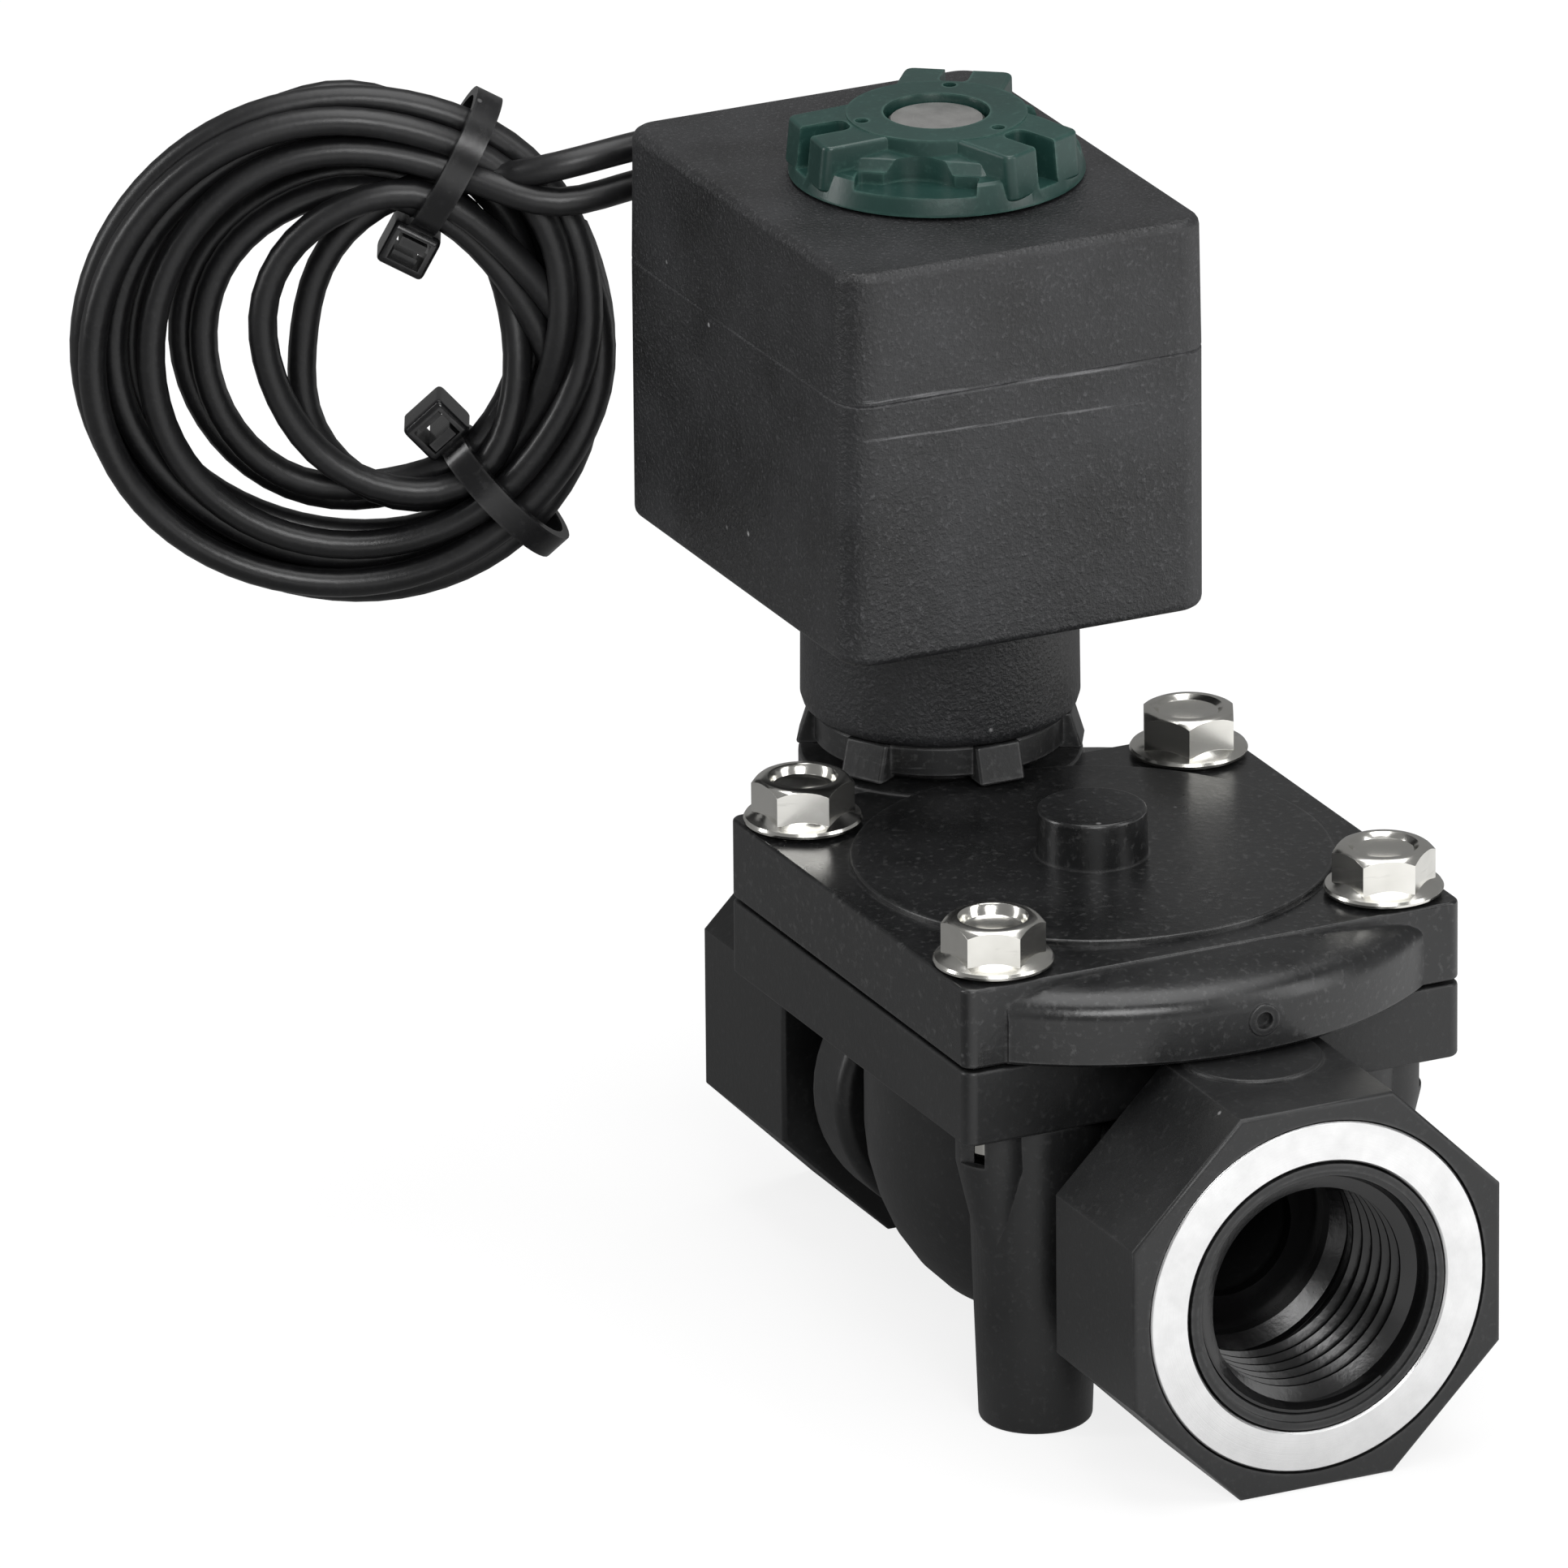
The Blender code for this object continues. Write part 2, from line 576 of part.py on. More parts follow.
make_body()
make_port_rings()
make_cover()
make_cover_fixings()
make_diaphragm_group()
make_pilot_group()
make_bonnet_nut()
make_coil()
make_cap()
make_leads()
hang_on_axis(
    "coil_axis", AXIS_T, "lead_grommet", "lead_1", "lead_2", "lead_bundle", "cable_tie_1", "cable_tie_2"
)
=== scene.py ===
import math

import bmesh
import bpy
import numpy as np
from mathutils import Matrix, Vector


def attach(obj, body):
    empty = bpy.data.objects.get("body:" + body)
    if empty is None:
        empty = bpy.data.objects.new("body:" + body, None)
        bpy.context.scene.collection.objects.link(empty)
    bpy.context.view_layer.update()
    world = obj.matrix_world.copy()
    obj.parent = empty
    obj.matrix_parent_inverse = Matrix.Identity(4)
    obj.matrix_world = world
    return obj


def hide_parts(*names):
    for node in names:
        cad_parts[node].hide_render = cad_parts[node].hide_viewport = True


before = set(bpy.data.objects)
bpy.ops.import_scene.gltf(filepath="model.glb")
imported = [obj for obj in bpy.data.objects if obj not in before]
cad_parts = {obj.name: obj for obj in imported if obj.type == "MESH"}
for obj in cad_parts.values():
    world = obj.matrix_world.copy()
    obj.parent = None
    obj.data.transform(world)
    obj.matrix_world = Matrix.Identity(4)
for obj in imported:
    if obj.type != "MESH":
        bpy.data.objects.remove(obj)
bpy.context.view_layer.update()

# Studio: a pale floor under a plain white sky, with one large soft box overhead, a tall
# one on the right, one beside the camera and a thin strip on the left.
MM = 0.001
BED = Vector((0.0065, 0.0, 0.018))        # where the port axis meets the diaphragm axis
VIEW_TURN, VIEW_RISE, VIEW_ROLL = math.radians(64.50), math.radians(21.05), math.radians(-0.517)
VIEW_AWAY = 2.0
AIM_RIGHT, AIM_UP = -0.02755, 0.03074
SKY_LIGHT = 0.24
REFLECTOR_LIGHT = 1.08                    # the sheet on the floor that lights the outlet side

level_right = Vector((math.cos(VIEW_TURN), math.sin(VIEW_TURN), 0))
view_back = Vector((
    math.sin(VIEW_TURN) * math.cos(VIEW_RISE), -math.cos(VIEW_TURN) * math.cos(VIEW_RISE), math.sin(VIEW_RISE)
))
level_up = view_back.cross(level_right)
view_right = level_right * math.cos(VIEW_ROLL) + level_up * math.sin(VIEW_ROLL)
view_up = level_up * math.cos(VIEW_ROLL) - level_right * math.sin(VIEW_ROLL)
aim = BED + view_right * AIM_RIGHT + view_up * AIM_UP

camera_data = bpy.data.cameras.new("camera")
camera_data.sensor_width = 36.0
camera_data.lens = 515.3
camera_data.clip_start, camera_data.clip_end = 0.05, 20.0
camera = bpy.data.objects.new("camera", camera_data)
camera.matrix_world = Matrix.Translation(aim + view_back * VIEW_AWAY) @ Matrix(
    (view_right, view_up, view_back)).transposed().to_4x4()
bpy.context.scene.collection.objects.link(camera)
bpy.context.scene.camera = camera
bpy.context.scene.view_settings.view_transform = "Standard"


def soft_box(name, right, up, back, width, height, watts):
    """A rectangular light at a place given in the camera's own directions, facing the valve."""
    light = bpy.data.lights.new(name, "AREA")
    light.shape = "RECTANGLE"
    light.size, light.size_y = width, height
    light.energy = watts
    lamp = bpy.data.objects.new(name, light)
    place = aim + view_right * right + view_up * up + view_back * back
    lamp.matrix_world = Matrix.Translation(place) @ (place - aim).to_track_quat("Z", "Y").to_matrix().to_4x4()
    bpy.context.scene.collection.objects.link(lamp)
    return lamp


soft_box("top_box", 0.10, 1.10, 0.40, 1.3, 0.9, 11)
soft_box("side_box", 1.0, 0.30, 0.50, 0.45, 1.0, 4.5)
soft_box("front_box", 0.25, 0.30, 1.7, 0.8, 0.6, 14)
soft_box("left_strip", -1.1, 0.25, 0.15, 0.20, 1.0, 5)

sky = bpy.data.worlds.new("white_sky")
sky.use_nodes = True
sky.node_tree.nodes["Background"].inputs["Color"].default_value = (1.0, 1.0, 1.0, 1)
sky.node_tree.nodes["Background"].inputs["Strength"].default_value = SKY_LIGHT
seen_sky = sky.node_tree.nodes.new("ShaderNodeBackground")
seen_sky.inputs["Color"].default_value = (1.0, 1.0, 1.0, 1)
ray = sky.node_tree.nodes.new("ShaderNodeLightPath")
choice = sky.node_tree.nodes.new("ShaderNodeMixShader")
sky.node_tree.links.new(ray.outputs["Is Camera Ray"], choice.inputs[0])
sky.node_tree.links.new(sky.node_tree.nodes["Background"].outputs[0], choice.inputs[1])
sky.node_tree.links.new(seen_sky.outputs[0], choice.inputs[2])
sky.node_tree.links.new(choice.outputs[0], sky.node_tree.nodes["World Output"].inputs["Surface"])
bpy.context.scene.world = sky

bm = bmesh.new()
bmesh.ops.create_grid(bm, x_segments=1, y_segments=1, size=3.0)
floor_mesh = bpy.data.meshes.new("floor")
bm.to_mesh(floor_mesh)
bm.free()
floor = bpy.data.objects.new("floor", floor_mesh)
floor_paint = bpy.data.materials.new("pale_floor")
floor_paint.use_nodes = True
tree = floor_paint.node_tree
paint = tree.nodes["Principled BSDF"]
paint.inputs["Base Color"].default_value = (0.95, 0.95, 0.95, 1)
paint.inputs["Roughness"].default_value = 0.9
paint.inputs["Specular IOR Level"].default_value = 0.1
glow = tree.nodes.new("ShaderNodeEmission")
glow.inputs["Strength"].default_value = 1.03
lit = tree.nodes.new("ShaderNodeMixShader")
lit.inputs[0].default_value = 0.8
dull = tree.nodes.new("ShaderNodeBsdfDiffuse")
dull.inputs["Color"].default_value = (0.15, 0.15, 0.15, 1)
sheet = tree.nodes.new("ShaderNodeEmission")
bounced = tree.nodes.new("ShaderNodeAddShader")
spot = tree.nodes.new("ShaderNodeTexCoord")
across = tree.nodes.new("ShaderNodeVectorMath")
across.operation = "DOT_PRODUCT"
across.inputs[1].default_value = (0.90, 0.43, 0.0)
reflector = tree.nodes.new("ShaderNodeMapRange")
for slot, value in zip(reflector.inputs[1:5], (0.0, 0.09, 0.09, REFLECTOR_LIGHT)):
    slot.default_value = value
tree.links.new(spot.outputs["Object"], across.inputs[0])
tree.links.new(across.outputs["Value"], reflector.inputs[0])
tree.links.new(reflector.outputs[0], sheet.inputs["Strength"])
tree.links.new(dull.outputs[0], bounced.inputs[0])
tree.links.new(sheet.outputs[0], bounced.inputs[1])
ray = tree.nodes.new("ShaderNodeLightPath")
choice = tree.nodes.new("ShaderNodeMixShader")
tree.links.new(paint.outputs[0], lit.inputs[1])
tree.links.new(glow.outputs[0], lit.inputs[2])
tree.links.new(ray.outputs["Is Camera Ray"], choice.inputs[0])
tree.links.new(bounced.outputs[0], choice.inputs[1])
tree.links.new(lit.outputs[0], choice.inputs[2])
tree.links.new(choice.outputs[0], tree.nodes["Material Output"].inputs["Surface"])
floor_mesh.materials.append(floor_paint)
bpy.context.scene.collection.objects.link(floor)


# Flying leads: two black insulated wires, 2.65 mm over the jacket, which leave the coil's
# rubber grommet side by side, pass behind the housing and are wound together into a loose
# ring. Each is 0.61 m long, with its end tucked into the ring.
LEAD_LENGTH = 0.61
LEAD_R = 1.325
COIL_BACK = -48.6
GROMMET_Y = -3.0
LEAD_RISE = (93.0, 89.4)
RING_MIDDLE = Vector((-67.4, -37.5, 74.8))
RING_TURN = math.radians(64.5)
RING_R = 19.5
TIE_ANGLES = (math.radians(62), math.radians(-47))
ring_across = Vector((math.cos(RING_TURN), math.sin(RING_TURN), 0))
ring_up = Vector((0, 0, 1))
ring_through = ring_across.cross(ring_up)


class Materials:
    """Shared shader groups, made once each."""
    groups = {}


def new_group(name, inputs, outputs):
    """An empty shader group with its sockets: inputs are (name, kind, value), outputs (name, kind)."""
    group = bpy.data.node_groups.new(name, "ShaderNodeTree")
    for label, kind, value in inputs:
        socket = group.interface.new_socket(label, in_out="INPUT", socket_type=kind)
        socket.default_value = value
    for label, kind in outputs:
        group.interface.new_socket(label, in_out="OUTPUT", socket_type=kind)
    return group, group.nodes.new("NodeGroupInput"), group.nodes.new("NodeGroupOutput")


def node(tree, kind, settings=(), **values):
    """A shader node with its settings and its unlinked input values."""
    made = tree.nodes.new("ShaderNode" + kind)
    for key, value in dict(settings).items():
        setattr(made, key, value)
    for key, value in values.items():
        made.inputs[key.replace("_", " ")].default_value = value
    return made


def maths(tree, operation, first, second, clamp=False):
    """A Math node between two sockets or plain numbers."""
    made = tree.nodes.new("ShaderNodeMath")
    made.operation = operation
    made.use_clamp = clamp
    for slot, value in zip(made.inputs, (first, second)):
        if isinstance(value, bpy.types.NodeSocket):
            tree.links.new(value, slot)
        else:
            slot.default_value = value
    return made.outputs[0]


def ramp(tree, factor, low, high, low_value=0.0, high_value=1.0):
    """Maps a factor from low..high to low_value..high_value, held at both ends."""
    made = tree.nodes.new("ShaderNodeMapRange")
    tree.links.new(factor, made.inputs[0])
    for slot, value in zip(made.inputs[1:5], (low, high, low_value, high_value)):
        slot.default_value = value
    return made.outputs[0]


def mix(tree, factor, first, second):
    """Mixes two colours, each a socket or an RGB triple."""
    made = tree.nodes.new("ShaderNodeMix")
    made.data_type = "RGBA"
    for slot, value in ((made.inputs[0], factor), (made.inputs[6], first), (made.inputs[7], second)):
        if isinstance(value, bpy.types.NodeSocket):
            tree.links.new(value, slot)
        elif isinstance(value, tuple):
            slot.default_value = (*value, 1)
        else:
            slot.default_value = value
    return made.outputs[2]


def moulded_surface():
    """Group for moulded plastic: fine grain, broad cloudiness, pale dust specks and a mask of worn edges."""
    if "moulded_surface" in Materials.groups:
        return Materials.groups["moulded_surface"]
    group, given, out = new_group(
        "moulded_surface",
        [("Grain Scale", "NodeSocketFloat", 2500.0), ("Speck Scale", "NodeSocketFloat", 260.0),
         ("Edge Width", "NodeSocketFloat", 0.0006), ("Dust Amount", "NodeSocketFloat", 0.5)],
        [("Grain", "NodeSocketFloat"), ("Cloud", "NodeSocketFloat"), ("Dust", "NodeSocketFloat"),
         ("Edge", "NodeSocketFloat"), ("Scuff", "NodeSocketFloat")],
    )
    place = node(group, "TexCoord").outputs["Object"]
    grain = node(group, "TexNoise", Detail=3.0, Roughness=0.62)
    cloud = node(group, "TexNoise", Scale=70.0, Detail=4.0, Roughness=0.6)
    speck = node(group, "TexVoronoi", Randomness=1.0)
    patch = node(group, "TexNoise", Scale=120.0, Detail=2.0)
    scuff_map = node(group, "Mapping", {"vector_type": "POINT"})
    scuff_map.inputs["Scale"].default_value = (1.0, 1.0, 7.0)
    scuff_map.inputs["Rotation"].default_value = (0.5, 1.1, 0.3)
    scuff = node(group, "TexNoise", Scale=190.0, Detail=5.0, Roughness=0.7)
    for texture in (grain, cloud, speck, patch, scuff_map):
        group.links.new(place, texture.inputs["Vector"])
    group.links.new(scuff_map.outputs[0], scuff.inputs["Vector"])
    group.links.new(given.outputs["Grain Scale"], grain.inputs["Scale"])
    group.links.new(given.outputs["Speck Scale"], speck.inputs["Scale"])
    dot = ramp(group, speck.outputs["Distance"], 0.035, 0.075, 1.0, 0.0)
    sparse = ramp(group, speck.outputs["Color"], 0.62, 0.66)
    where = ramp(group, patch.outputs[0], 0.5, 0.62)
    dust = maths(group, "MULTIPLY", maths(group, "MULTIPLY", dot, sparse), where)
    dust = maths(group, "MULTIPLY", dust, given.outputs["Dust Amount"], clamp=True)
    rounded = group.nodes.new("ShaderNodeBevel")
    rounded.samples = 6
    group.links.new(given.outputs["Edge Width"], rounded.inputs["Radius"])
    facing = group.nodes.new("ShaderNodeNewGeometry")
    dotted = group.nodes.new("ShaderNodeVectorMath")
    dotted.operation = "DOT_PRODUCT"
    group.links.new(rounded.outputs[0], dotted.inputs[0])
    group.links.new(facing.outputs["Normal"], dotted.inputs[1])
    edge = ramp(group, dotted.outputs["Value"], 0.985, 0.86)
    edge = maths(group, "MULTIPLY", edge, ramp(group, scuff.outputs[0], 0.35, 0.62), clamp=True)
    for label, value in (
        ("Grain", grain.outputs[0]), ("Cloud", cloud.outputs[0]), ("Dust", dust), ("Edge", edge),
        ("Scuff", ramp(group, scuff.outputs[0], 0.6, 0.75)),
    ):
        group.links.new(value, out.inputs[label])
    Materials.groups["moulded_surface"] = group
    return group


def plastic(name, colour, worn, roughness, grain_scale, grain_height, edge=0.5, dust=0.5, sheen=0.0,
            specular=0.5, mottle=0.2, rough_swing=0.12, scuffs=0.0):
    """A moulded plastic or rubber: grainy bump, cloudy colour and gloss, worn pale edges and specks of dust."""
    material = bpy.data.materials.new(name)
    material.use_nodes = True
    tree = material.node_tree
    shader = tree.nodes["Principled BSDF"]
    shader.inputs["Specular IOR Level"].default_value = specular
    surface = node(tree, "Group")
    surface.node_tree = moulded_surface()
    surface.inputs["Grain Scale"].default_value = grain_scale
    surface.inputs["Dust Amount"].default_value = dust
    light = tuple(min(1.0, c * (1 + mottle * 2) + 0.002) for c in colour)
    dark = tuple(c * (1 - mottle) for c in colour)
    body = mix(tree, ramp(tree, surface.outputs["Cloud"], 0.35, 0.65), dark, light)
    body = mix(tree, ramp(tree, surface.outputs["Grain"], 0.56, 0.8, 0.0, mottle * 1.5), body, worn)
    if scuffs:
        body = mix(tree, maths(tree, "MULTIPLY", surface.outputs["Scuff"], scuffs), body, worn)
    body = mix(tree, maths(tree, "MULTIPLY", surface.outputs["Edge"], edge), body, worn)
    body = mix(tree, surface.outputs["Dust"], body, (0.55, 0.55, 0.55))
    tree.links.new(body, shader.inputs["Base Color"])
    rough = ramp(tree, surface.outputs["Cloud"], 0.3, 0.7, roughness - rough_swing, roughness + rough_swing)
    tree.links.new(rough, shader.inputs["Roughness"])
    bump = node(tree, "Bump", Strength=1.0, Distance=grain_height)
    tree.links.new(surface.outputs["Grain"], bump.inputs["Height"])
    tree.links.new(bump.outputs[0], shader.inputs["Normal"])
    return material


def keep(piece, body, material, slot, *nodes):
    """Gives a finished piece its material, its body and the CAD nodes that it stands for; its finish slot is not used.
    """
    piece.data.materials.clear()
    piece.data.materials.append(material)
    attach(piece, body)
    if nodes:
        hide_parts(*nodes)
    return piece


def ring_point(angle, radius, depth):
    """A point of the tied ring: round it, out from its middle, and towards its front."""
    return (RING_MIDDLE + (ring_across * math.cos(angle) + ring_up * math.sin(angle)) * radius
            + ring_through * depth)


def packed_places(count):
    """Places of the strands in the ring's section, in three layers: (outwards, to the front)."""
    step = 2 * LEAD_R + 0.05
    layers = [(4, 0.0, 0.0), (3, 1.0, 0.5), (3, -1.0, 0.5)]
    places = []
    for many, layer, shift in layers:
        for i in range(many):
            places.append(((i - (many - 1) / 2) * step, layer * step * 0.87))
    return places[:count]


def smooth_through(points, spacing):
    """Points at an even spacing on a smooth curve through the given ones."""
    p = np.array([points[0]] + list(points) + [points[-1]], float)
    fine = []
    for i in range(1, len(p) - 2):
        for t in np.linspace(0, 1, 12, endpoint=False):
            fine.append(0.5 * (2 * p[i] + (p[i + 1] - p[i - 1]) * t
                               + (2 * p[i - 1] - 5 * p[i] + 4 * p[i + 1] - p[i + 2]) * t * t
                               + (3 * p[i] - p[i - 1] - 3 * p[i + 1] + p[i + 2]) * t ** 3))
    fine.append(p[-2])
    return even(np.array(fine), spacing)


def even(line, spacing):
    """The same line with its points at an even spacing."""
    run = np.concatenate([[0], np.cumsum(np.linalg.norm(np.diff(line, axis=0), axis=1))])
    marks = np.linspace(0, run[-1], max(2, round(run[-1] / spacing)) + 1)
    return np.stack([np.interp(marks, run, line[:, k]) for k in range(3)], axis=1)


def lead_start(rise, drop):
    """Out of the grommet, round behind the housing and across the front of the ring."""
    return [
        (COIL_BACK - 2.4, GROMMET_Y, rise), (COIL_BACK - 5.0, GROMMET_Y - 0.2, rise + 0.1),
        (COIL_BACK - 7.2, GROMMET_Y - 2.6, rise + 0.4), (COIL_BACK - 7.6, GROMMET_Y - 6.6, rise + 0.8),
        (COIL_BACK - 6.4, GROMMET_Y - 11.0, rise + 1.1), (COIL_BACK - 5.6, GROMMET_Y - 15.6, rise + 1.0),
        (COIL_BACK - 6.0, GROMMET_Y - 20.2, rise + 0.6 - drop / 2),
    ]


def wound_leads():
    """Both leads' centrelines in millimetres, wound turn by turn and then pushed apart where they touch."""
    places = packed_places(10)
    # for each turn: its place in the section, how far it strays outwards between the ties,
    # and whether it strays early (below 1) or late on the way round
    turns = {
        1: [(1, -13.5, 0.80), (6, 2.3, 1.0), (2, 1.3, 1.0), (0, -0.4, 1.0), (8, 1.5, 1.0), (8, 0.0, 1.0)],
        2: [(5, 0.1, 1.0), (3, 1.1, 1.0), (4, -8.0, 1.1), (7, 0.4, 1.0), (9, 0.4, 1.0), (9, 0.0, 1.0)],
    }
    lines = []
    for number, (rise, drop) in enumerate(zip(LEAD_RISE, (0.6, 1.8)), 1):
        points = list(lead_start(rise, drop))
        angle = TIE_ANGLES[0]
        points.append(tuple(ring_point(angle - 0.12, RING_R + places[turns[number][0][0]][0] + 1.0,
                                       places[turns[number][0][0]][1] + 1.2)))
        for turn, (place, stray, early) in enumerate(turns[number]):
            out, depth = places[place]
            next_out, next_depth = places[turns[number][(turn + 1) % len(turns[number])][0]]
            for step in range(16):
                angle_now = angle + 2 * math.pi * step / 16
                share = step / 16
                # the long way round, between the ties, is where a strand may stray
                free = math.sin(math.pi * (share / 0.69) ** early) ** 1.3 if share < 0.69 else 0.0
                swap = min(1.0, max(0.0, (share - 0.70) / 0.30))
                swap = swap * swap * (3 - 2 * swap)
                radius = RING_R + out * (1 - swap) + next_out * swap + stray * free
                radius += 0.5 * free * math.sin(3.0 * angle_now + 2.1 * turn + number)
                lift = depth * (1 - swap) + next_depth * swap
                points.append(tuple(ring_point(angle_now, radius, lift)))
            angle += 2 * math.pi
        lines.append(smooth_through(points, 2.0))
    return settle(lines)


def settle(lines):
    """Lets the strands push each other apart, keeping their spacing, bends and starts."""
    home = [line.copy() for line in lines]
    sizes = [len(line) for line in lines]
    owner = np.concatenate([np.full(n, i) for i, n in enumerate(sizes)])
    order = np.concatenate([np.arange(n) for n in sizes])
    near = (owner[:, None] == owner[None, :]) & (np.abs(order[:, None] - order[None, :]) < 5)
    gap = 2 * LEAD_R + 0.06
    middle = np.array(RING_MIDDLE)
    axes = np.array([ring_across, ring_up, ring_through])
    for _ in range(140):
        everything = np.concatenate(lines)
        apart = everything[:, None, :] - everything[None, :, :]
        far = np.linalg.norm(apart, axis=2)
        touching = (far < gap) & ~near
        push = np.where(touching, (gap - far) / np.maximum(far, 1e-6), 0.0)
        move = (apart * push[:, :, None]).sum(axis=1) * 0.35
        # the ties hold the strands in their section
        local = (everything + move - middle) @ axes.T
        radius = np.hypot(local[:, 0], local[:, 1])
        turned = np.arctan2(local[:, 1], local[:, 0])
        for tie in TIE_ANGLES:
            held = np.clip(1 - np.abs(np.angle(np.exp(1j * (turned - tie)))) * radius / 5.0, 0, 1)
            held *= (radius > 10)
            reach = np.sqrt(((radius - RING_R) / 4.55) ** 2 + (local[:, 2] / 2.75) ** 2)
            shrink = np.where(reach > 1, 1 - held * (1 - 1 / np.maximum(reach, 1)), 1.0)
            new_radius = RING_R + (radius - RING_R) * shrink
            local[:, :2] *= (new_radius / np.maximum(radius, 1e-6))[:, None]
            local[:, 2] *= shrink
            radius = new_radius
        # nothing leaves the ring's own thickness and outer size
        local[:, 2] = np.clip(local[:, 2], -6.5, 6.5)
        placed = local @ axes + middle
        start = 0
        for i, n in enumerate(sizes):
            line = placed[start:start + n]
            line[1:-1] = line[1:-1] * 0.7 + (line[:-2] + line[2:]) * 0.15
            line += (home[i] - line) * 0.05
            line[:30] += (home[i][:30] - line[:30]) * (1 - np.linspace(0, 1, 30)[:, None] ** 2)
            lines[i] = line
            start += n
    for line in lines:
        for _ in range(6):
            line[1:-1] = line[1:-1] * 0.5 + (line[:-2] + line[2:]) * 0.25
    cut_to = round(LEAD_LENGTH / MM / 2.0) + 1
    return [even(line, 2.0)[:cut_to] for line in lines]


lead_lines = wound_leads()


def lead_jacket():
    """Smooth black jacket with a little dust."""
    material = plastic("lead_jacket", (0.0055, 0.0055, 0.006), (0.05, 0.05, 0.052), 0.38, 1800.0, 0.00002,
                       edge=0.0, dust=0.25, mottle=0.15, rough_swing=0.08)
    return material


lead_material = lead_jacket()
for number, line in enumerate(lead_lines, 1):
    curve = bpy.data.curves.new(f"flying_lead_{number}", "CURVE")
    curve.dimensions = "3D"
    curve.bevel_depth = LEAD_R * MM
    curve.bevel_resolution = 4
    curve.use_fill_caps = True
    spline = curve.splines.new("POLY")
    spline.points.add(len(line) - 1)
    for point, place in zip(spline.points, line):
        point.co = (*(Vector(place) * MM), 1)
    spline.use_smooth = True
    lead = bpy.data.objects.new(f"flying_lead_{number}", curve)
    bpy.context.scene.collection.objects.link(lead)
    keep(lead, "coil", lead_material, "lead_jacket", f"lead_{number}", "lead_bundle")


# Cable ties: two small nylon straps pulled tight round the ring, each with its square
# locking head inside and its tail cut off flush. Glossier and harder than the leads.
TIE_WIDTH, TIE_THICKNESS, TIE_HEAD = 2.5, 0.9, 4.6
RING_HALF = (6.35, 4.55)


def lathe(profile, steps=64):
    """Turns a closed outline of (radius, height) corners round Z; an end at radius 0 closes on the axis."""
    bm = bmesh.new()
    corners = [bm.verts.new((r, 0, z)) for r, z in profile]
    for first, second in zip(corners, corners[1:]):
        bm.edges.new((first, second))
    if profile[0][0] > 0:
        bm.edges.new((corners[-1], corners[0]))
    bmesh.ops.spin(bm, geom=list(bm.verts) + list(bm.edges), cent=(0, 0, 0), axis=(0, 0, 1),
                   angle=2 * math.pi, steps=steps, use_merge=True)
    bmesh.ops.remove_doubles(bm, verts=bm.verts, dist=1e-4)
    bmesh.ops.recalc_face_normals(bm, faces=bm.faces)
    return bm


def drum(radius, low, high, sides=48, top_radius=None, phase=0.0, rounding=0.0):
    """A closed cylinder, cone or prism, its end edges rounded."""
    bm = bmesh.new()
    bmesh.ops.create_cone(bm, cap_ends=True, segments=sides, radius1=radius,
                          radius2=radius if top_radius is None else top_radius, depth=high - low)
    if rounding:
        rims = [e for e in bm.edges if any(len(f.verts) == sides for f in e.link_faces)]
        bmesh.ops.bevel(bm, geom=rims, offset=rounding, segments=3, profile=0.5, affect="EDGES", material=-1)
    bmesh.ops.rotate(bm, verts=bm.verts, cent=(0, 0, 0), matrix=Matrix.Rotation(phase, 3, "Z"))
    bmesh.ops.translate(bm, verts=bm.verts, vec=(0, 0, (low + high) / 2))
    return bm


def slab(low, high, corner=0.0, rounding=0.0, corner_steps=6):
    """A block with its upright corners and then its top and bottom edges rounded."""
    bm = bmesh.new()
    bmesh.ops.create_cube(bm, size=1.0)
    size = [b - a for a, b in zip(low, high)]
    bmesh.ops.scale(bm, verts=bm.verts, vec=size)
    bmesh.ops.translate(bm, verts=bm.verts, vec=[(a + b) / 2 for a, b in zip(low, high)])
    if corner:
        upright = [e for e in bm.edges if abs(e.verts[0].co.z - e.verts[1].co.z) > 0.9 * size[2]]
        bmesh.ops.bevel(bm, geom=upright, offset=corner, segments=corner_steps, profile=0.5,
                        affect="EDGES", material=-1)
    if rounding:
        level = [e for e in bm.edges if abs(e.verts[0].co.z - e.verts[1].co.z) < 1e-6
                 and len(e.link_faces) == 2 and abs(e.calc_face_angle()) > 1.0]
        bmesh.ops.bevel(bm, geom=level, offset=rounding, segments=3, profile=0.5, affect="EDGES", material=-1)
    return bm


def put(bm, at=(0, 0, 0), turn=0.0, along="Z"):
    """Turns a shape about Z, lays it along the flow if asked, and moves it to its place."""
    spin_matrix = Matrix.Rotation(turn, 3, "Z")
    if along == "X":
        spin_matrix = Matrix.Rotation(math.pi / 2, 3, "Y") @ spin_matrix
    bmesh.ops.rotate(bm, verts=bm.verts, cent=(0, 0, 0), matrix=spin_matrix)
    bmesh.ops.translate(bm, verts=bm.verts, vec=at)
    return bm


def shape_object(name, bm):
    """An object of a shape drawn in millimetres, smooth where its faces meet gently."""
    mesh = bpy.data.meshes.new(name)
    bmesh.ops.scale(bm, verts=bm.verts, vec=(MM, MM, MM))
    bm.to_mesh(mesh)
    bm.free()
    mesh.shade_smooth()
    mesh.set_sharp_from_angle(angle=math.radians(32))
    made = bpy.data.objects.new(name, mesh)
    bpy.context.scene.collection.objects.link(made)
    return made


